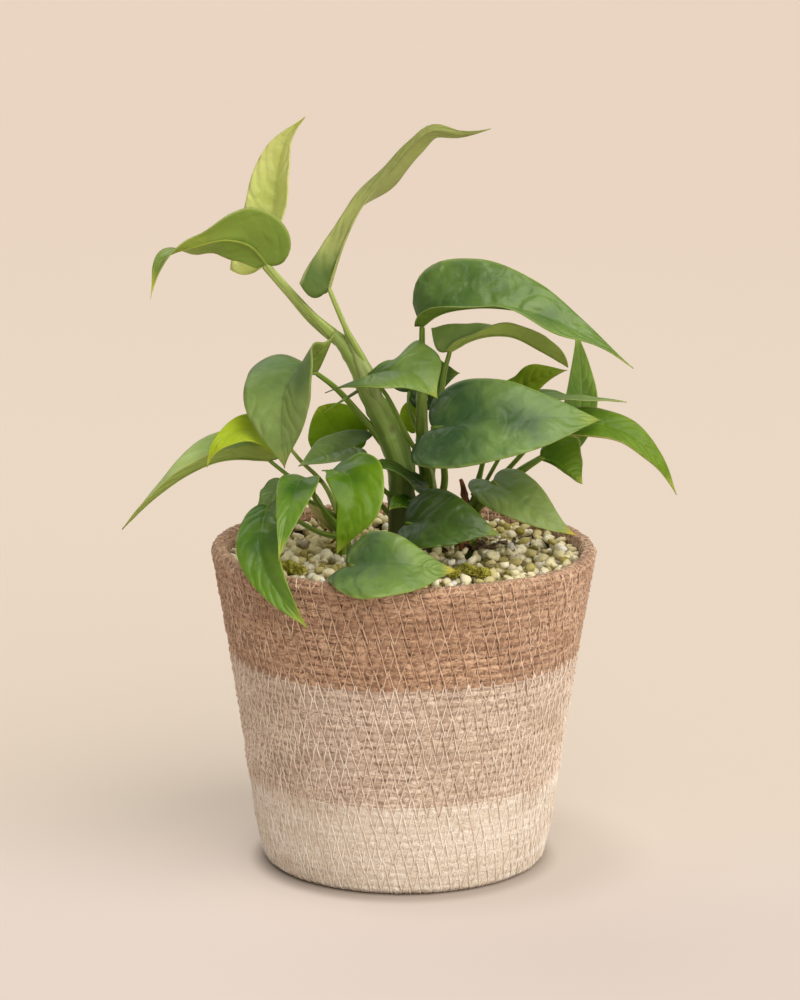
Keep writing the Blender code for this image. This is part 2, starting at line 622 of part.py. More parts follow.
def build_filling(group, cutters):
    """Build lining, soil and gravel, with a plain hole for each stem."""
    low = FLOOR + GAP
    heights = [low, 14, CREAM_TOP, TAN_TOP, LINING_TOP]
    skin = [(inner_radius(z) - GAP, z) for z in heights]
    film = [(r - LINING, z) for r, z in skin[1:]]
    cup = ([(0, low + LINING), (skin[0][0] - LINING, low + LINING)] + film
           + skin[::-1] + [(0, low)])
    turned("basket_lining", cup, group, "plastic_film")
    inside = LINING + 2 * GAP
    bottom = low + LINING + GAP
    mid = [(inner_radius(z) - inside, z) for z in (14, CREAM_TOP, TAN_TOP, SOIL_TOP)]
    soil = turned("potting_soil", [(0, SOIL_TOP)] + mid[::-1]
                  + [(inner_radius(low) - inside - 0.6, bottom), (0, bottom)],
                  group, "potting_soil")
    edge = inner_radius(GRAVEL_TOP) - inside
    gravel = turned("gravel", [(0, GRAVEL_TOP), (edge, GRAVEL_TOP),
                               (inner_radius(SOIL_TOP) - inside, SOIL_TOP + GAP),
                               (0, SOIL_TOP + GAP)], group, "gravel")
    scatter_pebbles(gravel, edge)
    for cutter in cutters.values():
        boolean(gravel, cutter, "DIFFERENCE")
        boolean(soil, cutter, "DIFFERENCE")
    for name in ("gravel", "potting_soil"):
        keep_largest(bpy.data.objects[name])


def scatter_pebbles(bed, edge):
    """Cover the gravel bed with stones set to half their height, on a jittered grid."""
    draw = Random(PEBBLE_SEED)
    heap = bpy.data.collections.new("pebbles")
    bpy.context.scene.collection.children.link(heap)
    step = PEBBLE_SIZE * 0.98
    count = int(edge / step) + 1
    for row in range(-count, count + 1):
        for column in range(-count, count + 1):
            x = (column + 0.5 * (row % 2)) * step + draw.uniform(-1.4, 1.4)
            y = row * step * 0.87 + draw.uniform(-1.4, 1.4)
            wide = PEBBLE_SIZE * draw.uniform(0.42, 0.56)
            tall = PEBBLE_SIZE * draw.uniform(0.30, 0.52)
            spin = draw.uniform(0, pi)
            if (x * x + y * y) ** 0.5 > edge - wide - 0.2:
                continue
            bm = bmesh.new()
            bmesh.ops.create_icosphere(bm, subdivisions=1, radius=MM)
            stone = mesh_from(bm, "pebble")
            size = Matrix.Diagonal((wide, wide * draw.uniform(0.75, 1), tall, 1))
            place = Matrix.Translation(Vector((x, y, GRAVEL_TOP - 0.25)) * MM)
            stone.transform(place @ Matrix.Rotation(spin, 4, "Z") @ size)
            heap.objects.link(bpy.data.objects.new("pebble", stone))
    boolean(bed, heap, "UNION", solver="MANIFOLD")
    remove(heap.objects)
    bpy.data.collections.remove(heap)
    bed.data.materials.clear()
    bed.data.materials.append(material("gravel"))


def main():
    """Build every piece of the potted plant."""
    parts, helpers = clear_scene()
    cutters = {name: stem_tube(name, helpers, grow=GAP) for name in STEMS}
    for name, cutter in cutters.items():
        cutter.name = name + "_cutter"
        cutter.hide_render = True
        cutter.display_type = "WIRE"
    build_basket(parts)
    build_filling(parts, cutters)
    for name in STEMS:
        stem = stem_tube(name, parts)
        stem.name = name
        stem.data.materials.append(material("stem_green"))
    for name, sizes in LEAVES.items():
        leaf_solid(name, sizes, parts, cutters)


main()
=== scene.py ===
# %% [markdown]
# # A potted mini monstera in its stitched basket
#
# The plant is four rooted cuttings of a climbing arum, each with a short green stem, long leaf
# stalks and drawn-out heart-shaped leaves. They stand in pale gravel inside a round basket
# that is sewn from coiled cord in three colours. The imported solids are loaded first. They fix
# every size and place, and the pieces made below only give them their finish.

# %% Load the solids
from math import cos, pi, radians, sin, tau
from random import Random

import bmesh
import bpy
import numpy as np
from mathutils import Euler, Matrix, Vector


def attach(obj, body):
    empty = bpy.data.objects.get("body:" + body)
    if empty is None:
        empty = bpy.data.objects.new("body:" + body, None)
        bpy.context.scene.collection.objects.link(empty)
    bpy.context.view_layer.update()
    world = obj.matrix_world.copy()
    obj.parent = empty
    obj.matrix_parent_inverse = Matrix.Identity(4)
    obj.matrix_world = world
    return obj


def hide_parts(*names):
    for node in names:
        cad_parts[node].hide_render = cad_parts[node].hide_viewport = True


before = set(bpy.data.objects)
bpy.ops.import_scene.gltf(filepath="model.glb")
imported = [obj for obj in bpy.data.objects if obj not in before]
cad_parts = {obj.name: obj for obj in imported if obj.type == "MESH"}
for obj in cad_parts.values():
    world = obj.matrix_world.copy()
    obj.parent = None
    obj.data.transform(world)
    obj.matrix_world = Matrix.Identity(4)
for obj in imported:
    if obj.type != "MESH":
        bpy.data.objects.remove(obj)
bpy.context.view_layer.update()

# %% [markdown]
# ## Units and colours
#
# Sizes are kept in millimetres, because basket, leaves and gravel are easiest to think of that
# way, and MM turns them into Blender's metres. Colours are written as the hex codes one reads
# off a screen. Blender wants linear light, so one function turns every code.

# %% Units and colours
MM = 0.001


def linear(code):
    """Turn a screen colour into the four linear values that a socket takes."""
    parts = [int(code[i:i + 2], 16) / 255 for i in (1, 3, 5)]
    return [c / 12.92 if c < 0.04045 else ((c + 0.055) / 1.055) ** 2.4 for c in parts] + [1]


print("white is", linear("#FFFFFF"))

# %% [markdown]
# ## One function for every material node
#
# Each finish below is a small graph. One function adds a node, sets its settings and its
# sockets, and links whatever sockets are given as outputs of other nodes. Reading a material
# from top to bottom then follows the pattern from its coordinates to the shader.

# %% A node with its settings and links
def node(tree, kind, sockets=(), **settings):
    """Add a node. sockets pairs a socket's name or number with a value or another output."""
    made = tree.nodes.new(kind)
    for key, value in settings.items():
        setattr(made, key, value)
    for key, value in dict(sockets).items():
        if isinstance(value, bpy.types.NodeSocket):
            tree.links.new(value, made.inputs[key])
        else:
            made.inputs[key].default_value = value
    return made


def new_material(name):
    """Start a node material and hand back its tree and its shader."""
    made = bpy.data.materials.new(name)
    made.use_nodes = True
    return made, made.node_tree, made.node_tree.nodes["Principled BSDF"]


def blend(tree, share, first, second):
    """Mix two colours and hand back the result."""
    mix = node(tree, "ShaderNodeMix", {0: share, 6: first, 7: second}, data_type="RGBA")
    return mix.outputs[2]


def fade(tree, value, low, high, to_low=0.0, to_high=1.0):
    """Turn the stretch from low to high of a value into a smooth step."""
    step = node(tree, "ShaderNodeMapRange", {0: value, 1: low, 2: high, 3: to_low, 4: to_high},
                interpolation_type="SMOOTHSTEP")
    return step.outputs[0]


def sums(tree, operation, *values):
    """Do one step of arithmetic on values or outputs."""
    return node(tree, "ShaderNodeMath", dict(enumerate(values)), operation=operation).outputs[0]


print("node helpers ready")

# %% [markdown]
# ## From a bmesh to a finished piece
#
# Every piece ends the same way: its mesh is stored on an object that sits at the origin, it
# gets its materials, it rides on the one body, and it names the solids that it stands for.

# %% Store a piece
def store(name, bm, looks, replaces=(), smooth=True):
    """Make a bmesh a finished object."""
    mesh = bpy.data.meshes.new(name)
    bm.to_mesh(mesh)
    bm.free()
    if smooth:
        mesh.shade_smooth()
    for look in looks:
        mesh.materials.append(look)
    made = bpy.data.objects.new(name, mesh)
    bpy.context.scene.collection.objects.link(made)
    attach(made, "root")
    if replaces:
        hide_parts(*replaces)
    return made


def triangles(made):
    """Count the triangles of a piece with its modifiers applied."""
    seen = made.evaluated_get(bpy.context.evaluated_depsgraph_get()).to_mesh()
    return sum(len(face.vertices) - 2 for face in seen.polygons)


# %% [markdown]
# ## The cord
#
# The basket is one long rope of braided cotton and jute, laid round and round and sewn to
# itself. Every row is a rounded ridge 3.25 mm tall. The rows start inside the mouth, roll over
# the rim, run down the wall, round the corner and in under the floor. So one line is drawn
# through that whole way, and a place on the wall is given by how far round it is, as an angle,
# and how far along the line it is, in millimetres.

# %% The line that the rows follow
BASKET_HEIGHT = 126.7
BASE_RADIUS = 57.0
FLARE = 0.118
BELLY = 0.00024
FOOT_DRAW = 2.0
FOOT_TOP = 20.0
WALL = 6.0
FLOOR = 5.0
CORNER = 4.0
CREAM_TOP = 37.0
TAN_TOP = 85.0
MOUTH_DEPTH = 112.0
CORD = 3.25


def wall_radius(z):
    """Outer radius of the basket at height z: drawn in at the foot, then flaring."""
    drawn = FOOT_DRAW * max(0, 1 - z / FOOT_TOP) ** 2
    return BASE_RADIUS + FLARE * z + BELLY * z * z - drawn


def way_points():
    """Places (radius, height) along the middle of the rows, from the mouth to the floor."""
    centre = BASKET_HEIGHT - WALL / 2
    turn = wall_radius(centre) - WALL / 2
    points = [(wall_radius(z) - WALL, z) for z in np.linspace(MOUTH_DEPTH, centre, 6)[:-1]]
    points += [(turn - WALL / 2 * cos(a), centre + WALL / 2 * sin(a))
               for a in np.linspace(0, pi, 13)]
    points += [(wall_radius(z), z) for z in np.linspace(centre, CORNER, 40)[1:-1]]
    corner = wall_radius(CORNER)
    points += [(corner - CORNER + CORNER * cos(a), CORNER - CORNER * sin(a))
               for a in np.linspace(0, pi / 2, 10)]
    points += [(r, 0) for r in np.linspace(corner - CORNER, 0.5, 8)[1:]]
    return np.array(points)


WAY = way_points()
WAY_LENGTH = np.concatenate([[0], np.cumsum(np.linalg.norm(np.diff(WAY, axis=0), axis=1))])
print("the rows' way is", round(WAY_LENGTH[-1]), "mm long,", int(WAY_LENGTH[-1] / CORD), "rows")


# %% Places on the way
def on_way(along):
    """Radius, height and the outward direction at lengths along the way."""
    r, ahead_r, back_r = (np.interp(along + step, WAY_LENGTH, WAY[:, 0])
                          for step in (0, 0.4, -0.4))
    z, ahead_z, back_z = (np.interp(along + step, WAY_LENGTH, WAY[:, 1])
                          for step in (0, 0.4, -0.4))
    run = np.array([ahead_r - back_r, ahead_z - back_z])
    run = run / np.maximum(np.hypot(*run), 1e-9)
    return r, z, -run[1], run[0]


def along_at(z):
    """Length along the way where the outer wall passes height z."""
    top = np.argmax(WAY[:, 1])
    return float(np.interp(-z, -WAY[top:, 1], WAY_LENGTH[top:]))


def waves(turn, along, seed, count, round_limit, along_limit):
    """Smooth, seeded unevenness of about -1 to 1 that closes on itself round the axis."""
    draw = Random(seed)
    total = 0
    for _ in range(count):
        around = draw.randint(1, round_limit)
        rate = draw.uniform(-along_limit, along_limit)
        total = total + np.sin(around * turn + rate * along + draw.uniform(0, tau))
    return total / count**0.5 / 1.4


print("the tan band starts", round(along_at(TAN_TOP)), "mm along the way")

# %% [markdown]
# ## Stitches and braid
#
# A zigzag in waxed thread joins the rows. Its legs are 9.4 mm tall and lean by half a stitch.
# The next line starts two rows further down, so that the legs that lean to the right meet and
# draw long slanted lines round the basket. Each leg pulls the cord in, and between the legs the
# braid swells up in two lumps a stitch, with the odd strand that stands proud.

# %% Where the stitches run
STITCHES_ROUND = 88
STITCH_LINE = 2 * CORD
STITCH_TALL = 9.4
LINE_SHIFT = 0.5 * STITCH_LINE / STITCH_TALL


def stitch_start(turn, line):
    """How far round a line of stitches starts, as a share of one stitch, and its sway."""
    sway = 0.09 * np.sin(7 * turn + 1.7 * line) + 0.05 * np.sin(23 * turn + 2.9 * line)
    return LINE_SHIFT * line + 0.08 * np.sin(5.1 * line) + sway


def leg_distance(turn, along, radius):
    """Distance in millimetres from a place on the wall to the nearest leg."""
    nearest = np.full(np.shape(turn), 9.0)
    for back in (0, 1):
        line = np.floor(along / STITCH_LINE) - back
        share = (along - line * STITCH_LINE) / STITCH_TALL
        at = turn / tau * STITCHES_ROUND - stitch_start(turn, line)
        for lean in (0.5, -0.5):
            off = np.abs((at - lean * share + 0.5) % 1 - 0.5) * tau * radius / STITCHES_ROUND
            off = off + (0.5 if lean < 0 else 0)
            nearest = np.where(share <= 1, np.minimum(nearest, off), nearest)
    return nearest


# %% Relief of the braided rows
FIRM = [along_at(TAN_TOP), along_at(CREAM_TOP)]


def cord_relief(turn, along, radius):
    """Height above the way, in millimetres, and how far up its ridge a place is."""
    bold = np.interp(along, [FIRM[0] - 8, FIRM[0] + 8, FIRM[1] - 4, FIRM[1] + 4],
                     [1.0, 0.85, 0.85, 0.55])
    rows = along / CORD + 0.13 * waves(turn, along, 3, 7, 14, 0.05)
    row = np.floor(rows)
    across = 2 * (rows - row) - 1
    ridge = np.sqrt(np.maximum(0, 1 - across**2))
    at = turn / tau * STITCHES_ROUND * 1.6 + 0.7 * np.sin(12.9 * row) + 0.95 * across
    lump = np.abs(np.sin(pi * (at + 0.45 * waves(turn, along, 5, 9, 90, 1.2)))) ** 0.7
    pulled = np.exp(-((leg_distance(turn, along, radius) / 0.75) ** 2))
    proud = 0.24 * waves(turn, along, 9, 16, 380, 3.2)
    swell = 0.12 * waves(turn, along, 15, 9, 40, 0.5)
    height = (0.2 + 0.8 * ridge) * (0.46 + 0.40 * lump + swell) * (1 - 0.55 * pulled)
    ridge_share = np.clip(1.4 * height + 0.8 * proud, 0, 1)
    return bold * (1.7 * height + proud - 1.1), 1 - bold * (1 - ridge_share)


def softness(turn, along):
    """How far the soft wall strays from a true circle, in millimetres, most at the rim."""
    share = np.clip(1 - along / 120, 0.1, 1)
    return 0.9 * share * waves(turn, along, 21, 5, 5, 0.02)


def cord_place(turn, along, lift=0.0):
    """Places in metres on the sewn surface, and how far up its ridge each one is."""
    r, z, out_r, out_z = on_way(along)
    relief, ridge = cord_relief(turn, along, r)
    r_now = r + out_r * (relief + lift) + softness(turn, along) * np.clip(z / 20, 0, 1)
    sag = 0.8 * waves(turn, 0 * along, 31, 5, 7, 0.0) * np.clip((z - 90) / 36, 0, 1)
    z_now = np.maximum(z + out_z * (relief + lift) + sag, 0.0)
    return np.stack([r_now * np.cos(turn), r_now * np.sin(turn), z_now], axis=-1) * MM, ridge


sample = cord_relief(np.linspace(0, tau, 2000), np.linspace(20, 60, 2000), 70.0)[0]
print("relief from", round(float(sample.min()), 2), "to", round(float(sample.max()), 2), "mm")

# %% [markdown]
# ## The three bands
#
# A band is a grid bent round the axis: its columns go round, and its rows go down the outside
# and back up the plain inner face. Starting from a grid gives every face its own place in a UV
# map for free. After bending, the two ends are merged, so the ring is closed. How far along the
# way and how far up its ridge each point is are kept on the mesh for the finish.

# %% A band of rows
COLUMNS_ROUND = 8 * STITCHES_ROUND
FINE_STEP = CORD / 5


def band(name, start, end, inner, look, node_name, coarse_after=None):
    """Build a closed ring whose outer face carries the relief from start to end."""
    outer = list(np.arange(start, min(end, coarse_after or end), FINE_STEP))
    if coarse_after:
        outer += list(np.arange(coarse_after, end, 3 * FINE_STEP))
    outer = np.array(outer + [end])
    rows = len(outer) + len(inner)
    bm = bmesh.new()
    bm.loops.layers.uv.new("UVMap")
    bmesh.ops.create_grid(bm, x_segments=COLUMNS_ROUND, y_segments=rows, size=0.5,
                          calc_uvs=True)
    bm.verts.ensure_lookup_table()
    flat = np.array([v.co[:2] for v in bm.verts])
    turn = (flat[:, 0] + 0.5) * tau
    row = np.rint((flat[:, 1] + 0.5) * rows).astype(int) % rows
    fine = row < len(outer)
    along = outer[np.minimum(row, len(outer) - 1)]
    place, ridge = cord_place(turn, along)
    inside = np.array(inner)[np.maximum(row - len(outer), 0)]
    plain = np.stack([inside[:, 0] * np.cos(turn), inside[:, 0] * np.sin(turn), inside[:, 1]],
                     axis=-1) * MM
    place[~fine] = plain[~fine]
    ridges = bm.verts.layers.float.new("ridge")
    lengths = bm.verts.layers.float.new("along")
    for vert, spot, value, length, shown in zip(bm.verts, place, ridge, along, fine):
        vert.co = spot
        vert[ridges] = value if shown else 0.5
        vert[lengths] = length
    bmesh.ops.remove_doubles(bm, verts=bm.verts, dist=0.00001)
    bmesh.ops.recalc_face_normals(bm, faces=bm.faces)
    made = store(name, bm, [look], [node_name])
    print(name, triangles(made), "triangles")


print("one band has", COLUMNS_ROUND, "columns and a row every", FINE_STEP, "mm")

# %% [markdown]
# ## Finish of the cord
#
# The cord is spun cotton and jute: matte, slightly hairy, and uneven in colour where the
# strands took the dye differently. A soft sheen on the shader stands for the loose fibres.
# The ridge value stored on the mesh darkens the grooves between the rows with painted shade.
# Noises drawn out along the rows give the strands and the dye their colour, and a fine one is the
# nap.
# Fibres are 0.1 mm thick in life, and are drawn 0.5 mm thick here so that they show.

# %% Braided cord
def cord_material(name, light, deep, groove):
    """Matte spun cord in one dye lot, with strands along the rows; groove is painted shade between
    them.
    """
    made, tree, shader = new_material(name)
    where = node(tree, "ShaderNodeTexCoord").outputs["Object"]
    uv = node(tree, "ShaderNodeUVMap", uv_map="UVMap").outputs[0]
    ridge = node(tree, "ShaderNodeAttribute", attribute_name="ridge").outputs["Fac"]
    along = node(tree, "ShaderNodeAttribute", attribute_name="along").outputs["Fac"]
    around = node(tree, "ShaderNodeSeparateXYZ", {0: uv}).outputs[0]
    laid = node(tree, "ShaderNodeCombineXYZ", {0: sums(tree, "MULTIPLY", around, 190.0),
                                               1: along})
    strands = node(tree, "ShaderNodeTexNoise", {"Vector": laid.outputs[0], "Scale": 0.8,
                                                "Detail": 2.0, "Distortion": 0.8})
    patches = node(tree, "ShaderNodeTexNoise", {"Vector": where, "Scale": 45.0, "Detail": 2.0})
    lengthwise = node(tree, "ShaderNodeCombineXYZ", {0: sums(tree, "MULTIPLY", around, 7.0),
                                                     1: sums(tree, "MULTIPLY", along, 0.16)})
    dye = node(tree, "ShaderNodeTexNoise", {"Vector": lengthwise.outputs[0], "Scale": 1.0,
                                            "Detail": 2.0})
    nap = node(tree, "ShaderNodeTexNoise", {"Vector": where, "Scale": 1500.0, "Detail": 2.0})
    tone = blend(tree, fade(tree, strands.outputs[0], 0.36, 0.62), linear(deep), linear(light))
    tone = blend(tree, fade(tree, patches.outputs[0], 0.42, 0.62, 0.0, 0.35), tone, linear(deep))
    tone = blend(tree, fade(tree, dye.outputs[0], 0.46, 0.62, 0.0, 0.5), tone, linear(deep))
    # Painted shade: the grooves between the rows are darkened towards the groove colour.
    tone = blend(tree, fade(tree, ridge, 0.0, 0.7, 0.85, 0.0), tone, linear(groove))
    tree.links.new(tone, shader.inputs["Base Color"])
    height = sums(tree, "MULTIPLY_ADD", strands.outputs[0], 2.0, nap.outputs[0])
    bump = node(tree, "ShaderNodeBump", {"Height": height, "Strength": 0.7,
                                         "Distance": 0.0005})
    tree.links.new(bump.outputs[0], shader.inputs["Normal"])
    shader.inputs["Roughness"].default_value = 0.88
    shader.inputs["Sheen Weight"].default_value = 0.2
    shader.inputs["Sheen Roughness"].default_value = 0.6
    shader.inputs["Specular IOR Level"].default_value = 0.25
    return made


# The last colour of each cord is the painted shade in its grooves.
brown_cord = cord_material("brown_braided_jute", "#D8B291", "#9C765A", "#573D2A")
tan_cord = cord_material("tan_braided_jute", "#EFDBC7", "#BFA690", "#735B44")
cream_cord = cord_material("cream_braided_cotton", "#F5EBDD", "#DFCFBA", "#9A846B")
print("cord finishes:", brown_cord.name, tan_cord.name, cream_cord.name)

# %% Lay the three bands
tan_start = along_at(TAN_TOP)
cream_start = along_at(CREAM_TOP)
corner_end = along_at(CORNER) + CORNER * pi / 2


def inner_face(heights):
    """Places of the plain inner wall."""
    return [(wall_radius(z) - WALL, z) for z in heights]


band("brown_cord_rows", 0.0, tan_start, inner_face([TAN_TOP, 100]), brown_cord,
     "basket_brown_band")
band("tan_cord_rows", tan_start, cream_start, inner_face([CREAM_TOP, 60, TAN_TOP]),
     tan_cord, "basket_tan_band")
band("cream_cord_rows", cream_start, WAY_LENGTH[-1],
     [(0.5, FLOOR), (BASE_RADIUS - WALL - 1, FLOOR)] + inner_face([14, CREAM_TOP]),
     cream_cord, "basket_cream_band", coarse_after=corner_end)

# %% [markdown]
# ## The thread
#
# The thread is paler than the cord that it sews, so the zigzag reads as fine light lines. It is
# drawn as a thin tube that follows the relief and dips in where the needle went through. A
# curve with a bevel makes such a tube most simply, and it is turned into a mesh before it is
# stored.

# %% Zigzag thread
THREAD = 0.26
LEG_STEPS = 6


def thread_material(name, light, deep):
    """Waxed cotton thread: matte, with a little colour change along it."""
    made, tree, shader = new_material(name)
    where = node(tree, "ShaderNodeTexCoord").outputs["Object"]
    patches = node(tree, "ShaderNodeTexNoise", {"Vector": where, "Scale": 90.0, "Detail": 2.0})
    tone = blend(tree, fade(tree, patches.outputs[0], 0.35, 0.65), linear(deep), linear(light))
    tree.links.new(tone, shader.inputs["Base Color"])
    shader.inputs["Roughness"].default_value = 0.7
    shader.inputs["Sheen Weight"].default_value = 0.15
    return made


def thread_line(line, end, sunk):
    """Places of one zigzag line, in metres. Its returning legs are sunk by so much."""
    count = 2 * STITCHES_ROUND * LEG_STEPS
    share = np.arange(count) / LEG_STEPS
    leg = np.floor(share)
    down = np.where(leg % 2 == 0, share - leg, 1 - share + leg)
    turn = share / 2 / STITCHES_ROUND * tau
    turn = turn + stitch_start(turn, line) / STITCHES_ROUND * tau
    along = np.clip(line * STITCH_LINE + down * STITCH_TALL, 0.5, end)
    sunk_here = np.where(leg % 2 == 0, 0.0, sunk) * np.sin(pi * down) ** 0.5
    dip = 0.16 * np.maximum(0, waves(turn, along, 51, 8, 70, 0.8))
    lift = 0.36 - 0.25 * np.abs(2 * down - 1) ** 6 - sunk_here - dip
    place, _ = cord_place(turn, along, lift=lift)
    place[:, 2] = np.maximum(place[:, 2], THREAD * MM)
    return place


def stitches(name, start, end, last, sunk, look, node_name):
    """Sew the lines that start between two lengths along the way, down to the last length."""
    shape = bpy.data.curves.new(name, "CURVE")
    shape.dimensions = "3D"
    shape.bevel_depth = THREAD * MM
    shape.bevel_resolution = 0
    for line in range(int(np.ceil(start / STITCH_LINE)), int(np.ceil(end / STITCH_LINE))):
        places = thread_line(line, last, sunk)
        spline = shape.splines.new("POLY")
        spline.points.add(len(places) - 1)
        spline.use_cyclic_u = True
        full = np.concatenate([places, np.ones((len(places), 1))], axis=1)
        spline.points.foreach_set("co", full.astype(np.float32).ravel())
    helper = bpy.data.objects.new(name + "_curve", shape)
    bpy.context.scene.collection.objects.link(helper)
    graph = bpy.context.evaluated_depsgraph_get()
    bm = bmesh.new()
    bm.from_mesh(bpy.data.meshes.new_from_object(helper.evaluated_get(graph)))
    bpy.data.objects.remove(helper, do_unlink=True)
    bmesh.ops.recalc_face_normals(bm, faces=bm.faces)
    made = store(name, bm, [look], [node_name])
    print(name, triangles(made), "triangles")


brown_thread = thread_material("brown_waxed_thread", "#E8C9AC", "#C69F80")
tan_thread = thread_material("tan_waxed_thread", "#F7E8D8", "#E2CDB8")
cream_thread = thread_material("cream_waxed_thread", "#FAF2E7", "#E8DAC8")
reach = 0.5 * STITCH_TALL
stitches("brown_stitches", 0.0, tan_start - reach, tan_start + reach, 0.4, brown_thread,
         "basket_brown_band")
stitches("tan_stitches", tan_start - reach, cream_start - reach, cream_start + reach, 0.0,
         tan_thread, "basket_tan_band")
stitches("cream_stitches", cream_start - reach, corner_end, corner_end + 8, 0.15,
         cream_thread, "basket_cream_band")

# %% [markdown]
# ## Lining and soil
#
# A thin dark film keeps the damp soil off the cord. Both lie under the gravel and show only as
# a dark line at the wall and as the dark between the stones, so the solids stay as they are and
# get their real finish.

# %% Finish of the film and of the soil
def plain_rough(name, light, deep, scale, roughness, bump_depth):
    """A rough two-tone finish with a grain of the given scale."""
    made, tree, shader = new_material(name)
    where = node(tree, "ShaderNodeTexCoord").outputs["Object"]
    grain = node(tree, "ShaderNodeTexNoise", {"Vector": where, "Scale": scale, "Detail": 4.0})
    tone = blend(tree, fade(tree, grain.outputs[0], 0.35, 0.65), linear(deep), linear(light))
    tree.links.new(tone, shader.inputs["Base Color"])
    bump = node(tree, "ShaderNodeBump", {"Height": grain.outputs[0], "Strength": 0.6,
                                         "Distance": bump_depth})
    tree.links.new(bump.outputs[0], shader.inputs["Normal"])
    shader.inputs["Roughness"].default_value = roughness
    return made


soil = plain_rough("damp_potting_soil", "#4A3625", "#21160E", 300.0, 0.95, 0.002)
film = plain_rough("black_polythene_film", "#3E3C38", "#2B2926", 60.0, 0.45, 0.0003)
for name, look in (("potting_soil", soil), ("basket_lining", film)):
    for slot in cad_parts[name].material_slots:
        slot.material = look
print("kept solids finished: potting_soil, basket_lining")

# %% [markdown]
# ## Gravel
#
# The top dressing is small washed pumice: light, porous pebbles of 3 to 6 mm, most of them a
# pale olive cream, some darker, a few chalky white. Pebbles are thrown one by one with a seeded
# draw. A throw that lands too much on a pebble of its own layer is thrown again, which is how
# real ones share out the room. Each one starts as a cube with every face cut in four and blown
# up to a ball of 48 triangles, and is then flattened on a few sides. The pebbles of the lowest
# layer are painted darker, as painted shade deep in the heap, and a plain disc in the darkest
# stone colour closes the gaps under them, also as painted shade.

# %% Pumice
def pumice_material():
    """Porous volcanic stone, washed and chalky, with pits about a millimetre wide."""
    made, tree, shader = new_material("washed_pumice")
    where = node(tree, "ShaderNodeTexCoord").outputs["Object"]
    shade = node(tree, "ShaderNodeAttribute", attribute_name="stone").outputs["Fac"]
    ramp = node(tree, "ShaderNodeValToRGB", {0: shade})
    colours = [(0.0, "#8E8236"), (0.08, "#B8AC64"), (0.2, "#D8CC94"), (0.4, "#EEE3B4"),
               (0.65, "#F7EEC8"), (0.88, "#FAF3D8"), (0.95, "#FDFBF2"), (1.0, "#C6BBA8")]
    while len(ramp.color_ramp.elements) < len(colours):
        ramp.color_ramp.elements.new(0.5)
    for element, (place, code) in zip(ramp.color_ramp.elements, colours):
        element.position = place
        element.color = linear(code)
    stain = node(tree, "ShaderNodeTexNoise", {"Vector": where, "Scale": 190.0, "Detail": 4.0})
    pits = node(tree, "ShaderNodeTexVoronoi", {"Vector": where, "Scale": 900.0})
    tone = blend(tree, fade(tree, stain.outputs[0], 0.5, 0.75, 0.0, 0.5), ramp.outputs[0],
                 linear("#A79B5E"))
    # Painted shade: the hollow pits are darkened towards a deeper olive.
    tone = blend(tree, fade(tree, pits.outputs[0], 0.0, 0.28, 0.3, 0.0), tone,
                 linear("#85784A"))
    tree.links.new(tone, shader.inputs["Base Color"])
    height = sums(tree, "ADD", fade(tree, pits.outputs[0], 0.0, 0.4), stain.outputs[0])
    bump = node(tree, "ShaderNodeBump", {"Height": height, "Strength": 0.5,
                                         "Distance": 0.0005})
    tree.links.new(bump.outputs[0], shader.inputs["Normal"])
    shader.inputs["Roughness"].default_value = 0.85
    shader.inputs["Specular IOR Level"].default_value = 0.3
    return made


pumice = pumice_material()
print("stone finish:", pumice.name)

# %% Throw the pebbles
GRAVEL_EDGE = 66.5
WALL_STONES_PAST_EDGE = 2.6
THROWS = 9000
BED_HEIGHT = 113.5
# Pebbles lower than this are painted darker: painted shade deep in the heap.
PAINTED_SHADE_BELOW = 118
# Each foot is x, y and the radius that pebbles keep clear
STEM_FEET = [(-2.0, 13.6, 5.4), (12.4, 20.8, 3.9), (25.5, 20.0, 6.5), (-23.7, 9.4, 3.5)]
# Each layer is its height, smallest and largest pebble, room between them, and inner radius
LAYERS = [(115.9, 2.4, 3.4, 0.84, 0), (119.2, 1.9, 3.4, 0.94, 0), (121.3, 1.7, 3.2, 1.6, 0),
          (122.0, 1.8, 2.7, 0.9, 63)]


def throw_pebbles():
    """Places (x, y, z, size) of every pebble, layer by layer."""
    draw = Random(23)
    heap = []
    for height, small, large, room, inner in LAYERS:
        layer = np.zeros((0, 3))
        for _ in range(THROWS):
            size = draw.uniform(small, large)
            edge = GRAVEL_EDGE + (WALL_STONES_PAST_EDGE if inner else 0)
            far = (edge - size * 0.8) * draw.uniform((inner / edge) ** 2, 1) ** 0.5
            turn = draw.uniform(0, tau)
            x, y = far * cos(turn), far * sin(turn)
            if any((x - a) ** 2 + (y - b) ** 2 < (r + size * 0.8) ** 2 for a, b, r in STEM_FEET):
                continue
            near = np.hypot(layer[:, 0] - x, layer[:, 1] - y)
            if len(layer) and (near < room * (layer[:, 2] + size)).any():
                continue
            layer = np.vstack([layer, (x, y, size)])
            heap.append((x, y, height + draw.uniform(-0.6, 0.6), size))
    return heap


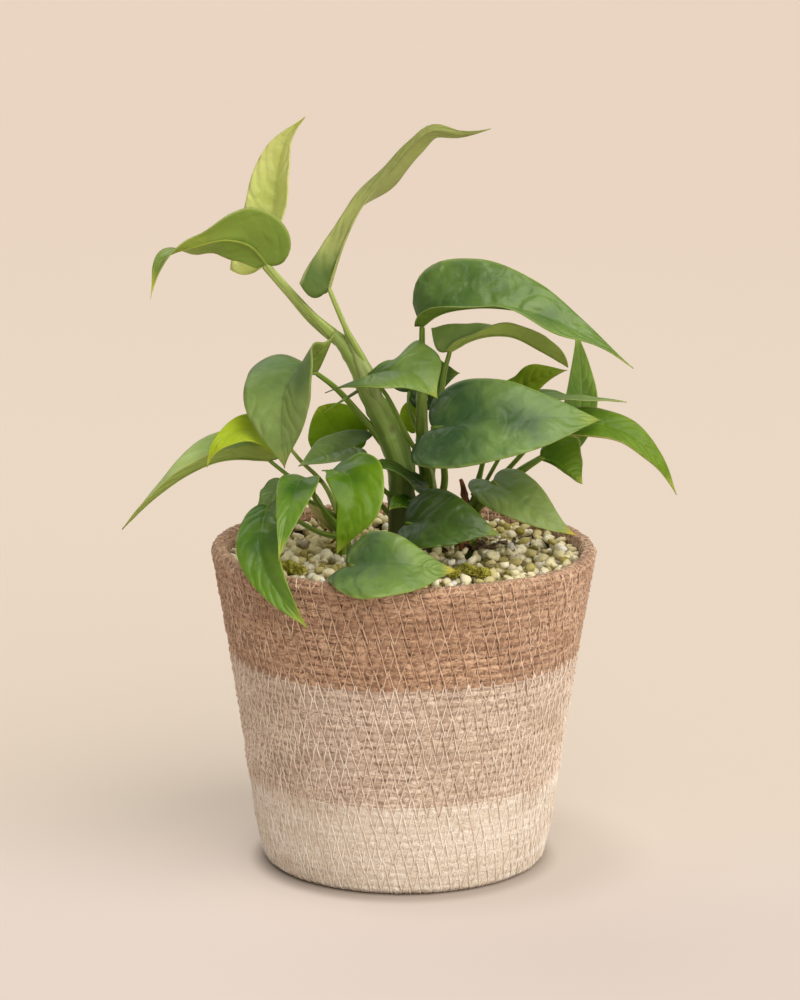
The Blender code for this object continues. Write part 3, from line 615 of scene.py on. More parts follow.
def one_pebble(draw, size, shade):
    """Shape one pebble round the origin, in millimetres."""
    pebble = bmesh.new()
    shades = pebble.verts.layers.float.new("stone")
    bmesh.ops.create_cube(pebble, size=1.2)
    bmesh.ops.subdivide_edges(pebble, edges=pebble.edges, cuts=1, use_grid_fill=True)
    lean = Vector((draw.uniform(-1, 1), draw.uniform(-1, 1), draw.uniform(-1, 1)))
    cuts = [Vector((draw.gauss(0, 1), draw.gauss(0, 1), draw.gauss(0, 1))).normalized()
            for _ in range(5)]
    for vert in pebble.verts:
        spot = vert.co.normalized()
        for cut in cuts:
            over = spot.dot(cut) - 0.55
            if over > 0:
                spot -= cut * over * 0.97
        vert.co = spot * (1 + 0.10 * lean.dot(spot) + draw.uniform(-0.05, 0.05)) * size
        vert[shades] = shade
    stretch = Matrix.Diagonal((draw.uniform(1.0, 1.35), draw.uniform(0.8, 1.0),
                               draw.uniform(0.7, 0.9)))
    turned = Euler([draw.uniform(-0.6, 0.6), draw.uniform(-0.6, 0.6), draw.uniform(0, tau)])
    pebble.transform((turned.to_matrix() @ stretch).to_4x4())
    return pebble


def lay_gravel(heap):
    """Join all pebbles in one bmesh, over a plain disc in the darkest colour, painted shade."""
    draw = Random(29)
    bed = bmesh.new()
    bmesh.ops.create_circle(bed, cap_ends=True, radius=GRAVEL_EDGE * MM, segments=64,
                            matrix=Matrix.Translation((0, 0, BED_HEIGHT * MM)))
    # The disc keeps stone value 0, the darkest stone colour: painted shade in the gaps.
    bed.verts.layers.float.new("stone")
    for x, y, z, size in heap:
        # Painted shade: pebbles of the lowest layer get only dark stone colours.
        shade = draw.random() if z > PAINTED_SHADE_BELOW else 0.3 * draw.random()
        pebble = one_pebble(draw, size, shade)
        for vert in pebble.verts:
            vert.co = (vert.co + Vector((x, y, z))) * MM
        one = bpy.data.meshes.new("pebble")
        pebble.to_mesh(one)
        pebble.free()
        bed.from_mesh(one)
        bpy.data.meshes.remove(one)
    return bed


heap = throw_pebbles()
gravel = store("pumice_pebbles", lay_gravel(heap), [pumice], ["gravel"])
print(len(heap), "pebbles,", triangles(gravel), "triangles")

# %% [markdown]
# ## Moss and litter
#
# Small cushions of moss grow on the gravel, and flakes of bark lie on it in two places, beside
# the right-hand cutting and in front of the thick stem. A cushion is a rough dome with a few
# hundred short pointed leaves on it. Each is a three-sided spike, larger than life so that it
# shows.

# %% Cushions of moss
# Each cushion is its centre, its size and the number of its leaves
MOSS = [((24, -26, 121), 4.6, 330), ((30, -30, 121), 3.6, 220), ((19, -31, 121), 2.6, 120),
        ((-45, -21, 121), 4.8, 330), ((-41, -25, 121), 3.2, 170)]


def moss_material():
    """Dull olive moss, patched with a darker olive brown."""
    made, tree, shader = new_material("cushion_moss")
    where = node(tree, "ShaderNodeTexCoord").outputs["Object"]
    tufts = node(tree, "ShaderNodeTexNoise", {"Vector": where, "Scale": 500.0, "Detail": 3.0})
    tone = blend(tree, fade(tree, tufts.outputs[0], 0.35, 0.65), linear("#857B22"),
                 linear("#C6C450"))
    tree.links.new(tone, shader.inputs["Base Color"])
    shader.inputs["Roughness"].default_value = 0.9
    return made


def moss_cushions():
    """Fan the spikes of every cushion out from its heart."""
    draw = Random(41)
    moss = bmesh.new()
    for centre, size, count in MOSS:
        dome = bmesh.ops.create_icosphere(moss, subdivisions=2, radius=0.72 * size * MM)
        low = Matrix.Translation(Vector(centre) * MM) @ Matrix.Diagonal((1, 1, 0.6, 1))
        bmesh.ops.transform(moss, verts=dome["verts"], matrix=low)
        for _ in range(count):
            way = Vector((draw.gauss(0, 1), draw.gauss(0, 1), abs(draw.gauss(0, 1)))).normalized()
            length = draw.uniform(1.0, 1.9)
            spike = bmesh.ops.create_cone(moss, segments=3, radius1=0.5 * MM, radius2=0.15 * MM,
                                          depth=length * MM, cap_ends=True)
            turned = way.to_track_quat("Z", "Y").to_matrix().to_4x4()
            root = Vector((way.x, way.y, 0.6 * way.z)) * size * 0.68
            place = Matrix.Translation((Vector(centre) + root + way * length * 0.5) * MM)
            bmesh.ops.transform(moss, verts=spike["verts"], matrix=place @ turned)
    return moss


cushions = store("moss_cushions", moss_cushions(), [moss_material()])
print("moss:", triangles(cushions), "triangles")

# %% Flakes of bark
FLAKES = 30
BARK_PLACES = [(34.0, 17.0, 122.2), (0.0, 5.0, 122.4)]


def bark_flakes():
    """Scatter thin, irregular flakes round each place."""
    draw = Random(47)
    litter = bmesh.new()
    for i in range(FLAKES * len(BARK_PLACES)):
        chip = bmesh.ops.create_cone(litter, segments=7, radius1=draw.uniform(1.2, 2.6) * MM,
                                     radius2=draw.uniform(0.8, 1.4) * MM,
                                     depth=draw.uniform(0.5, 0.9) * MM, cap_ends=True)
        for vert in chip["verts"]:
            vert.co.x *= draw.uniform(0.6, 1.4)
            vert.co.y *= draw.uniform(0.4, 1.0)
        tilt = Euler([draw.uniform(-0.7, 0.7), draw.uniform(-0.7, 0.7), draw.uniform(0, tau)])
        stray = Vector((draw.gauss(0, 5), draw.gauss(0, 5), draw.uniform(-1, 1)))
        spot = Vector(BARK_PLACES[i // FLAKES]) + stray
        place = Matrix.Translation(spot * MM) @ tilt.to_matrix().to_4x4()
        bmesh.ops.transform(litter, verts=chip["verts"], matrix=place)
    return litter


flake_look = plain_rough("weathered_bark", "#6E5A3A", "#372818", 420.0, 0.9, 0.0008)
flakes = store("bark_flakes", bark_flakes(), [flake_look], smooth=False)
print("bark:", triangles(flakes), "triangles")

# %% [markdown]
# ## Tubes for stems and stalks
#
# A stem is a round tube whose thickness changes along a smooth line. A grid is rolled up for
# it: columns go round, rows go along. The UV map of the grid then tells the finish how far
# along the stem a point is, which the streaks and the colours of the top and the foot follow. A
# flattened tube makes the sheaths that wrap a stem where a leaf stalk leaves it.

# %% Roll a grid into a tube
def unit(v):
    """Scale each row to length one."""
    return v / np.maximum(np.linalg.norm(v, axis=-1, keepdims=True), 1e-9)


def tube(path, radii, sides=12, groove=0.0, groove_side=None):
    """Build a closed tube along millimetre places. A groove flattens one side of it."""
    path = np.array(path, float)
    radii = np.array(radii, float)
    run = unit(np.gradient(path, axis=0))
    first = np.cross(run, (0.0, 1.0, 0.0) if groove_side is None else groove_side)
    first = unit(first)
    second = np.cross(first, run)
    steps = len(path) - 1
    bm = bmesh.new()
    bm.loops.layers.uv.new("UVMap")
    bmesh.ops.create_grid(bm, x_segments=sides, y_segments=steps, size=0.5, calc_uvs=True)
    for vert in bm.verts:
        turn = (vert.co.x + 0.5) * tau
        i = round((vert.co.y + 0.5) * steps)
        reach = radii[i] * (1 - groove * max(0, sin(turn)) ** 4)
        spot = path[i] + reach * (cos(turn) * first[i] + sin(turn) * second[i])
        vert.co = Vector(spot * MM)
    bmesh.ops.remove_doubles(bm, verts=bm.verts, dist=0.000002)
    open_edges = [edge for edge in bm.edges if edge.is_boundary]
    bmesh.ops.holes_fill(bm, edges=open_edges, sides=0)
    bmesh.ops.recalc_face_normals(bm, faces=bm.faces)
    return bm


def smooth_path(points, steps):
    """Return steps + 1 places, evenly spread, on a smooth curve through the points."""
    p = np.array(points, float)
    run = np.linalg.norm(np.diff(p, axis=0), axis=1)
    knots = np.concatenate([[0], np.cumsum(run)])
    pull = np.diff(p, axis=0) / run[:, None]
    bend = np.zeros_like(p)
    weights = run[:-1] + run[1:]
    bend[1:-1] = (pull[:-1] * run[1:, None] + pull[1:] * run[:-1, None]) / weights[:, None]
    bend[0] = 1.5 * pull[0] - 0.5 * bend[1]
    bend[-1] = 1.5 * pull[-1] - 0.5 * bend[-2]
    places = []
    for along in np.linspace(0, knots[-1], steps + 1):
        i = min(int(np.searchsorted(knots, along, side="right")) - 1, len(run) - 1)
        t = (along - knots[i]) / run[i]
        places.append(
            (2 * t**3 - 3 * t**2 + 1) * p[i] + (t**3 - 2 * t**2 + t) * run[i] * bend[i]
            + (3 * t**2 - 2 * t**3) * p[i + 1] + (t**3 - t**2) * run[i] * bend[i + 1])
    return np.array(places)


print("tube helper ready")

# %% [markdown]
# ## Stems
#
# A young arum stem is green, smooth and faintly streaked along its length, a little thicker at
# each joint, and lighter where an old leaf sheath still clings to it. All of them darken to a
# dark olive brown at the foot, which is painted shade under the leaves, and the thick one carries
# a brown scar where a leaf has dropped. The skin is waxy, so it has a soft gloss.

# %% Finish of stems and stalks
def stem_material(name, light, deep, pale, upper, foot=None, scar_at=None):
    """Waxy green skin, streaked lengthwise; upper is its colour at the top, foot a painted shade
    low down.
    """
    made, tree, shader = new_material(name)
    uv = node(tree, "ShaderNodeUVMap", uv_map="UVMap").outputs[0]
    where = node(tree, "ShaderNodeTexCoord").outputs["Object"]
    stretched = node(tree, "ShaderNodeMapping", {"Vector": uv, "Scale": (9.0, 1.6, 1.0)})
    streaks = node(tree, "ShaderNodeTexNoise", {"Vector": stretched.outputs[0], "Scale": 1.0,
                                                "Detail": 3.0})
    mottle = node(tree, "ShaderNodeTexNoise", {"Vector": where, "Scale": 220.0, "Detail": 2.0})
    tone = blend(tree, fade(tree, streaks.outputs[0], 0.38, 0.62), linear(deep), linear(light))
    tone = blend(tree, fade(tree, streaks.outputs[0], 0.58, 0.72, 0.0, 0.55), tone,
                 linear(pale))
    tone = blend(tree, fade(tree, mottle.outputs[0], 0.5, 0.7, 0.0, 0.25), tone, linear(deep))
    height = node(tree, "ShaderNodeSeparateXYZ", {0: uv}).outputs[1]
    tone = blend(tree, fade(tree, height, 0.45, 0.95, 0.0, 0.65), tone, linear(upper))
    # Painted shade: the lower part of the stem darkens towards the foot colour under the leaves.
    if foot:
        tone = blend(tree, fade(tree, height, 0.24, 0.42, 0.85, 0.0), tone, linear(foot))
    if scar_at:
        centre = node(tree, "ShaderNodeVectorMath", {0: where, 1: [v * MM for v in scar_at]},
                      operation="DISTANCE").outputs["Value"]
        tone = blend(tree, fade(tree, centre, 0.0012, 0.0034, 0.9, 0.0), tone,
                     linear("#6B4A2C"))
    tree.links.new(tone, shader.inputs["Base Color"])
    bump = node(tree, "ShaderNodeBump", {"Height": streaks.outputs[0], "Strength": 0.25,
                                         "Distance": 0.0006})
    tree.links.new(bump.outputs[0], shader.inputs["Normal"])
    shader.inputs["Roughness"].default_value = 0.42
    shader.inputs["Specular IOR Level"].default_value = 0.35
    shader.inputs["Subsurface Weight"].default_value = 0.08
    shader.inputs["Subsurface Radius"].default_value = (0.6, 1.0, 0.3)
    shader.inputs["Subsurface Scale"].default_value = 0.002
    return made


SCAR_AT = (-4, 3, 171)
# The fifth colour of these stem skins is the painted shade at the foot.
thick_skin = stem_material("thick_stem_skin", "#90AE54", "#67843A", "#C3CF8A", "#B6CA70",
                           "#3C421E", SCAR_AT)
green_skin = stem_material("green_stem_skin", "#7F9A34", "#56721E", "#A0B24C", "#86A03C",
                           "#484E20")
stalk_skin = stem_material("green_stalk_skin", "#86A03E", "#5E7A28", "#A8B85C", "#8AA444")
sheath_skin = stem_material("leaf_sheath_skin", "#B0C078", "#8CA25A", "#D6DCAC", "#C6D090")
lime_skin = stem_material("young_stem_skin", "#B4C46A", "#90A64C", "#DADFAA", "#BECB78")

# %% Raise the stems
STEMS = {
    "main_stem": dict(
        path=[(-2, 14, 108), (-1, 13, 141), (-1, 12, 153), (-6, 10, 170), (-13, 8, 184),
              (-20, 6, 200), (-31, 4, 213)],
        radii=[5.0, 5.0, 5.4, 5.7, 4.5, 3.8, 2.4]),
    "centre_stem": dict(
        path=[(13, 22, 108), (12, 20, 130), (10, 18, 144), (7, 12, 168), (7, 8.5, 184)],
        radii=[3.6, 3.4, 3.2, 2.5, 1.9]),
    "right_stem": dict(
        path=[(25, 21, 108), (26, 19, 130), (28, 16, 143)],
        radii=[3.4, 3.2, 2.4]),
    "left_stem": dict(
        path=[(-23, 10, 108), (-24, 9, 126), (-26, 6, 137)],
        radii=[3.2, 3.0, 2.2]),
}
JOINTS = {"main_stem": [0.30, 0.42, 0.53, 0.64, 0.75, 0.86], "centre_stem": [0.35, 0.55, 0.75],
          "right_stem": [0.5], "left_stem": [0.6]}
SHEATHS = {
    "main_stem": [
        dict(path=[(-9, 8.5, 177), (-13.5, 5.2, 190), (-19.5, 3.4, 204), (-25, 1.6, 217)],
             radii=[1.8, 3.7, 2.2, 0.3]),
    ],
    "centre_stem": [
        dict(path=[(8, 13, 160), (7, 9.4, 170), (7, 7.6, 180), (7, 7, 190)],
             radii=[1.4, 2.6, 2.2, 1.1]),
    ],
}


SHEATH_STEPS = 24
ROUNDED_ROWS = 12


def raise_stem(name, sizes, look):
    """Build one stem with thickened joints and rounded top."""
    steps = 16 * (len(sizes["path"]) - 1)
    path = smooth_path(sizes["path"], steps)
    share = np.linspace(0, 1, steps + 1)
    radii = np.interp(share, np.linspace(0, 1, len(sizes["radii"])), sizes["radii"])
    for joint in JOINTS[name]:
        radii = radii * (1 + 0.09 * np.exp(-((share - joint) / 0.012) ** 2)
                         - 0.05 * np.exp(-((share - joint - 0.03) / 0.015) ** 2))
    radii[-ROUNDED_ROWS:] *= 1 - 0.75 * np.linspace(0, 1, ROUNDED_ROWS) ** 1.6
    bm = tube(path, radii, sides=28)
    for sheath in SHEATHS.get(name, []):
        wrap = smooth_path(sheath["path"], SHEATH_STEPS)
        wide = np.interp(np.linspace(0, 1, SHEATH_STEPS + 1),
                         np.linspace(0, 1, len(sheath["radii"])), sheath["radii"])
        part = tube(wrap, wide, sides=20, groove=0.35, groove_side=(0.4, 0.9, 0.0))
        for face in part.faces:
            face.material_index = 1
        one = bpy.data.meshes.new("sheath")
        part.to_mesh(one)
        part.free()
        bm.from_mesh(one)
        bpy.data.meshes.remove(one)
    wrap_skin = sheath_skin if name == "main_stem" else stalk_skin
    return store(name + "_skin", bm, [look, wrap_skin], [name])


for stem_name, stem_sizes in STEMS.items():
    skin = thick_skin if stem_name == "main_stem" else green_skin
    stem = raise_stem(stem_name, stem_sizes, skin)
    print(stem.name, triangles(stem), "triangles")

# %% [markdown]
# ## Leaves
#
# Every leaf is one sheet bent in space. Its midrib is a smooth line from the joint to the tip.
# At each step along it, the sheet runs out to both sides, at one slope beside the midrib and
# another at the margin, and is as wide as the heart shape is there. The sizes below say this
# for each leaf, so that the same few lines make the flat ones, the folded ones and those that
# hook over. Only the look differs besides, and it is named in the second list.

# %% Sizes of the leaves
def leaf(stem, midrib, stalk, face, width, left, right, lobes=(4, 4), halves=((1, 1),),
         points=((0, 0), (0, 0)), start=0.10, taper=1.35, wave=0.6, turn=0.0, girth=1.0):
    """Name the sizes of one leaf.

    midrib runs from the joint to the tip and stalk from the joint to the stem. face is the
    way the upper side looks, read along the leaf. left and right hold the slope of each half
    at the midrib and at the margin, in degrees, again read along the leaf. lobes is how far
    each half reaches back past the joint, points is how far its base corner is drawn out and
    back into a spike, and halves scales the two half widths.
    """
    return dict(stem=stem, midrib=midrib, stalk=stalk, face=face, width=width, left=left,
                right=right, lobes=lobes, halves=halves, points=points, start=start,
                taper=taper, wave=wave, turn=turn, girth=girth)


LEAVES = {
    "young_upright_leaf": leaf(
        "main_stem",
        [(-55, 15, 234), (-51, 20, 254), (-49, 20, 271), (-46, 17, 282), (-38, 9, 293)],
        [(-46, 13, 224), (-34, 10, 211), (-25, 7, 205)],
        [(-0.25, -0.95, 0.15)], 26, [(5, 5), (30, 20)], [(80, 75), (50, 40), (35, 30)],
        lobes=(5, 2), halves=((1, 1), (1, 1), (1.1, 1.1), (0.4, 0.4)), start=0.3, taper=1.15,
        girth=1.2),
    "young_hooked_leaf": leaf(
        "main_stem",
        [(-53, 0, 237), (-59, -3, 245), (-67, -7, 248), (-80, -10, 246), (-91, -12, 242),
         (-97, -16, 226)],
        [(-42, 1, 224), (-34, 3, 215), (-28, 4, 209)],
        [(0.1, 0.85, 0.5), (0, 0.7, 0.6), (0, 0.5, 0.9), (0, -0.3, 0.95), (-0.5, -0.8, 0.3)],
        36, [(0, 0), (30, 20), (30, 20), (0, 0)], [(0, -10), (0, 0), (0, 0)],
        lobes=(2, 0), halves=((0.9, 0.5), (0.88, 0.6), (0.38, 0.9), (0.9, 1.2), (1, 1)),
        start=0.025, taper=1.9, girth=1.5),
    "tall_twisted_leaf": leaf(
        "main_stem",
        [(-29, -2, 228), (-24, 2, 244), (-16, 4, 260), (-6, 2, 272), (3, -2, 283),
         (11, -6, 289.5), (21, -9, 288.5), (33, -12, 291)],
        [(-23, 0, 213), (-14, 4, 194), (-11, 7, 184)],
        [(-0.3, 0.9, 0.2), (-0.3, 0.9, 0.2), (-0.3, 0.9, 0.3), (0.1, 0.8, 0.5)], 22,
        [(80, 80), (80, 80), (30, 20), (10, 10), (20, 10)],
        [(10, -10), (60, 50), (75, 75), (60, 50), (20, 0)],
        lobes=(2, 6), points=((0, 0), (3, -3)), start=0.12, taper=1.3, girth=1.2,
        halves=((1, 1.1), (1, 0.7), (1, 0.5), (1, 0.45), (1, 0.45), (1, 0.7), (1, 0.8))),
    "high_arched_leaf": leaf(
        "centre_stem",
        [(7, 0, 213), (12, -4, 218), (26, -9, 222), (48, -12, 220.5), (68, -10, 212),
         (89, -4, 197)],
        [(7, 3, 204), (7, 6, 193), (7, 8.5, 182)],
        [(-0.4, -0.6, 0.5), (0, -0.6, 0.8), (0.1, -0.55, 0.8)], 39,
        [(10, 5), (20, 10), (20, 10)], [(75, 75), (55, 45), (25, 10), (40, 30)],
        lobes=(1, 0), start=0.03, taper=1.7, girth=1.4,
        halves=((1.2, 0.45), (1.08, 0.8), (0.95, 1), (0.85, 1), (0.8, 1))),
    "low_arched_leaf": leaf(
        "centre_stem",
        [(18, 6, 202), (22, 4, 205.5), (31, 2, 209), (41, 2, 209), (53, 3, 203), (64, 4, 196)],
        [(16, 8, 194), (14, 12, 175), (12, 15, 160), (10, 18, 148)],
        [(0, -0.3, 0.95)], 23, [(75, 60), (30, 0), (10, 0)], [(50, 60), (75, 80), (80, 80)],
        lobes=(5, 1), points=((6, -3), (0, 0)),
        halves=((1.1, 0.3), (0.55, 0.25), (0.3, 0.55), (0.3, 0.9), (0.5, 1.3)),
        start=0.05, taper=0.85, girth=1.2),
    "left_heart_leaf": leaf(
        "main_stem",
        [(-34, -4, 195), (-40, -10, 197), (-45, -17, 192), (-47, -21, 178), (-46, -18, 160)],
        [(-26, 4, 187), (-17, 8, 176), (-8, 10, 165)],
        [(-0.2, -0.5, 0.85), (-0.15, -0.8, 0.55), (0, -0.95, 0.2), (0, -0.98, 0)], 37,
        [(88, 88), (50, 30), (10, 10)], [(0, -10), (0, -35), (0, -15), (0, -15)],
        lobes=(0, 5), points=((11, -3), (0, 0)),
        halves=((0.5, 0.9), (1.1, 1.1), (1, 1.15), (1, 1.1)), girth=1.3),
    "saddle_leaf": leaf(
        "centre_stem",
        [(-13, -8, 195), (-5, -14, 198), (4, -18, 197), (10, -20, 192), (13, -20, 188)],
        [(-7, -1, 186), (2, 5, 167), (10, 12, 152), (10.5, 17, 143)],
        [(-0.2, -0.6, 0.8), (0, -0.6, 0.8), (0.3, -0.7, 0.6)], 34,
        [(10, -10)], [(40, 30), (25, 5), (10, -5)], lobes=(2, 4), points=((0, 0), (0, 11)),
        halves=((0.15, 1), (0.38, 1), (1.25, 1), (1.7, 1), (1.2, 1))),
    "large_front_leaf": leaf(
        "centre_stem",
        [(11, -12, 175), (25, -22, 180), (44, -26, 182), (62, -22, 181), (76, -16, 179)],
        [(13, -3, 169), (16, 6, 151), (13, 17, 136)],
        [(0, -0.75, 0.65)], 39, [(15, 0)], [(5, -5)], lobes=(3, 8), halves=((0.9, 1.05),),
        taper=1.2, girth=1.4),
    "front_centre_leaf": leaf(
        "main_stem",
        [(1, -20, 139), (14, -30, 141.5), (25, -34, 141.5), (37, -34, 137.5)],
        [(4, -8, 134), (2, 4, 129), (0, 12, 126)],
        [(0, -0.75, 0.65)], 32, [(10, -10)], [(15, 5), (5, -10)], lobes=(3, 1.5),
        halves=((1, 0.75), (1, 1)), girth=1.2),
    "right_low_leaf": leaf(
        "right_stem",
        [(35, 0, 151), (42, -8, 148), (51, -14, 143), (59, -18, 138), (67, -20, 134)],
        [(32, 7, 143), (28, 15, 134), (26, 19, 130)],
        [(0.1, -0.7, 0.7)], 22, [(10, 0)], [(5, -10)], lobes=(3, 8)),
    "front_low_leaf": leaf(
        "main_stem",
        [(-21, -64, 133), (-12, -71.5, 135.5), (-1, -74, 136), (10, -72, 134), (20, -68, 132)],
        [(-14, -42, 132), (-6, -10, 129), (-2, 12, 124)],
        [(0, -0.7, 0.7)], 30, [(10, -5)], [(22, 14), (10, -10)], lobes=(4, 3.5), girth=1.2,
        halves=((1, 0.85), (1, 1.3), (1, 1.3), (1, 1.1))),
    "inner_drooping_leaf": leaf(
        "left_stem",
        [(-34, -22, 156), (-39, -35, 160), (-42, -50, 156), (-45, -62, 147), (-47, -70, 136)],
        [(-35, -14, 149), (-31, -3, 140), (-25, 6, 131)],
        [(-0.1, -0.4, 0.9), (-0.1, -0.8, 0.6), (0, -0.95, 0.3)], 24,
        [(20, 10)], [(10, 0)], lobes=(1, 2), halves=((0.35, 0.5), (0.85, 0.7), (1, 0.7))),
    "rim_drooping_leaf": leaf(
        "left_stem",
        [(-52, -34, 149), (-54, -49, 142), (-53, -58, 133), (-47, -66, 123), (-36, -70, 110)],
        [(-43, -24, 142), (-31, -4, 131), (-24, 9, 127)],
        [(-0.2, -0.7, 0.7), (-0.2, -0.95, 0.3)], 26, [(30, 40), (30, 20)], [(10, 0)],
        lobes=(1, 1), halves=((0.6, 0.6), (0.8, 0.8), (1, 1)), start=0.04),
    "bright_front_leaf": leaf(
        "left_stem",
        [(-28, -16, 159), (-21, -28, 159), (-20, -36, 150), (-23, -38, 141), (-26, -36, 130)],
        [(-28, -9, 153), (-26, -1, 144), (-25, 6, 136)],
        [(-0.1, -0.5, 0.85), (0, -0.9, 0.4), (0, -0.98, 0.1)], 28,
        [(10, 0)], [(40, 30), (15, 0), (10, 0)], lobes=(0, 3),
        halves=((0.72, 0.3), (0.98, 0.7), (1.2, 0.6), (1.3, 0.5))),
    "far_left_leaf": leaf(
        "left_stem",
        [(-53, 4, 159), (-61, 0, 161), (-72, -5, 161), (-83, -9, 157), (-96, -10, 148),
         (-110, -8, 134)],
        [(-46, 5, 153), (-35, 7, 144), (-29, 8, 133), (-24, 9, 128)],
        [(0, -0.2, 1)], 26, [(45, 60)], [(55, 50), (20, 10), (0, 0)], lobes=(3, 3),
        halves=((0.7, 1),)),
    "left_yellow_leaf": leaf(
        "left_stem",
        [(-48, -3, 168), (-58, -10, 174), (-66, -16, 174), (-73, -20, 169), (-76, -20, 161)],
        [(-45, 0, 165), (-41, 5, 159), (-31, 14, 146), (-25, 10, 134)],
        [(-0.1, -0.7, 0.7)], 18, [(10, 0)], [(10, 0)], lobes=(3, 3),
        halves=((1, 1), (1, 0.6)), girth=0.9),
    "left_round_leaf": leaf(
        "main_stem",
        [(-23, 16, 161), (-28, 22, 169), (-34, 30, 175)],
        [(-21, 16, 155), (-13, 16, 143), (-2, 14, 131)],
        [(0, -0.9, 0.3)], 24, [(5, 0)], [(5, 0)], lobes=(3, 3), taper=0.8, girth=0.9),
    "left_grey_leaf": leaf(
        "main_stem",
        [(-20, 5, 164), (-29, -2, 163), (-35, -8, 162), (-41, -12, 160)],
        [(-16, 6, 157), (-9, 9, 147), (-1, 12, 139)],
        [(0, -0.5, 0.87)], 18, [(10, 0)], [(20, 0)], lobes=(3, 12), girth=0.9),
    "left_small_leaf": leaf(
        "left_stem",
        [(-47, -18, 155), (-52, -26, 150), (-58, -30, 143)],
        [(-41, -10, 148), (-32, 3, 140), (-25.5, 8, 134)],
        [(-0.3, -0.5, 0.8)], 12, [(10, 0)], [(10, 0)], lobes=(2, 2), girth=0.8),
    "stem_foot_leaf": leaf(
        "main_stem",
        [(9, 4, 148), (0, -2, 155), (-7, -8, 160), (-15, -12, 158)],
        [(9, 7, 143), (5, 10, 137), (0, 13, 133)],
        [(0, -0.3, 0.95)], 18, [(0, -20)], [(10, 0)], lobes=(2, 2), girth=0.9),
    "centre_dark_leaf": leaf(
        "centre_stem",
        [(2, 20, 183), (8, 21, 188), (16, 20, 190), (22, 18, 191)],
        [(2, 19, 178), (4, 17, 172), (8, 13, 165)],
        [(0, -0.9, 0.4)], 24, [(10, 0)], [(10, 0)], lobes=(3, 3), girth=0.9),
    "right_back_leaf": leaf(
        "right_stem",
        [(36, 10, 182), (45, 10, 187), (55, 8, 192), (64, 8, 194)],
        [(34, 13, 170), (31, 15, 155), (28, 16, 142)],
        [(0, -0.8, 0.5)], 20, [(10, 0)], [(10, 0)], lobes=(3, 3),
        halves=((0.4, 1), (0.5, 1), (1, 0.7), (0.9, 0.6)), wave=1.4),
    "right_upright_leaf": leaf(
        "right_stem",
        [(66, 12, 168), (69, 10, 179), (69, 8, 194), (67, 6, 211)],
        [(58, 13, 161), (46, 15, 153), (36, 18, 145), (27, 18, 137)],
        [(0.2, -0.9, 0.3)], 14, [(10, 0)], [(10, 0)], lobes=(3, 6)),
    "right_drooping_leaf": leaf(
        "right_stem",
        [(61, -7, 176), (74, -12, 177), (87, -14, 173), (97, -14, 164), (106, -10, 148)],
        [(52, 1, 168), (40, 10, 153), (28, 17, 140)],
        [(0, -0.6, 0.8)], 15, [(10, 0)], [(10, 0)], lobes=(3, 3)),
    "right_slim_leaf": leaf(
        "right_stem",
        [(53, -2, 187), (64, -8, 186), (76, -10, 186), (86, -10, 185)],
        [(48, 2, 180), (38, 8, 160), (31, 12, 146), (26.5, 17, 136)],
        [(0, -0.05, 1)], 10, [(10, 0)], [(10, 0)], lobes=(2, 2), girth=0.8),
    "right_hooked_leaf": leaf(
        "right_stem",
        [(54, 2, 160), (58, -1, 159.6), (62, -4, 157.6), (66, -6, 154.8), (69.5, -7, 151.6)],
        [(48, 5, 155), (39, 9, 146), (27, 17, 135)],
        [(0, -0.9, 0.3)], 26, [(-10, -10)], [(-20, -40)], lobes=(2, 0), taper=0.9,
        halves=((0.6, 0.12), (1.05, 0.12), (0.8, 0.15), (0.4, 0.3))),
    "small_lime_leaf": leaf(
        "centre_stem",
        [(5, 20, 169), (3, 21, 174), (2, 22, 179)],
        [(6, 20, 165), (8, 19, 158), (9, 17, 152)],
        [(0, -0.9, 0.3)], 10, [(0, 0)], [(0, 0)], lobes=(2, 2), taper=0.7, girth=0.7),
    "small_glossy_leaf": leaf(
        "main_stem",
        [(2, 2, 143), (-3, -2, 143), (-6, -5, 141)],
        [(3, 5, 141), (2, 8, 138), (-1, 13, 135)],
        [(0, -0.5, 0.8)], 9, [(0, 0)], [(0, 0)], lobes=(2, 2), girth=0.7),
    "dry_bract": leaf(
        "left_stem",
        [(-27, 13, 129), (-32, 14, 134), (-36, 15, 138), (-39, 15, 141)],
        [(-26, 12, 128), (-24, 10, 127)],
        [(0.3, -0.8, 0.4)], 6, [(20, 20)], [(20, 20)], lobes=(0, 0), start=0.3, taper=0.8,
        girth=0.8),
}

# %% Place the points of a blade
def read_along(values, s):
    """Read a list of values, spread evenly from joint to tip, at the shares s."""
    v = np.atleast_2d(np.array(values, float))
    if len(v) == 1:
        return np.repeat(v, len(s), axis=0)
    knots = np.linspace(0, 1, len(v))
    i = np.clip(np.searchsorted(knots, s, side="right") - 1, 0, len(v) - 2)
    t = (s - knots[i]) / (knots[i + 1] - knots[i])
    t = (t * t * (3 - 2 * t))[:, None]
    return v[i] * (1 - t) + v[i + 1] * t


def width_share(s, start, taper):
    """Share of the full width at s: round at the base, widest early, drawn out to the tip."""
    rise = 0.55
    widest = np.clip((rise - taper * start) / (rise + taper), 0, 1)
    return ((s + start) / (widest + start)) ** rise * ((1 - s) / (1 - widest)) ** taper


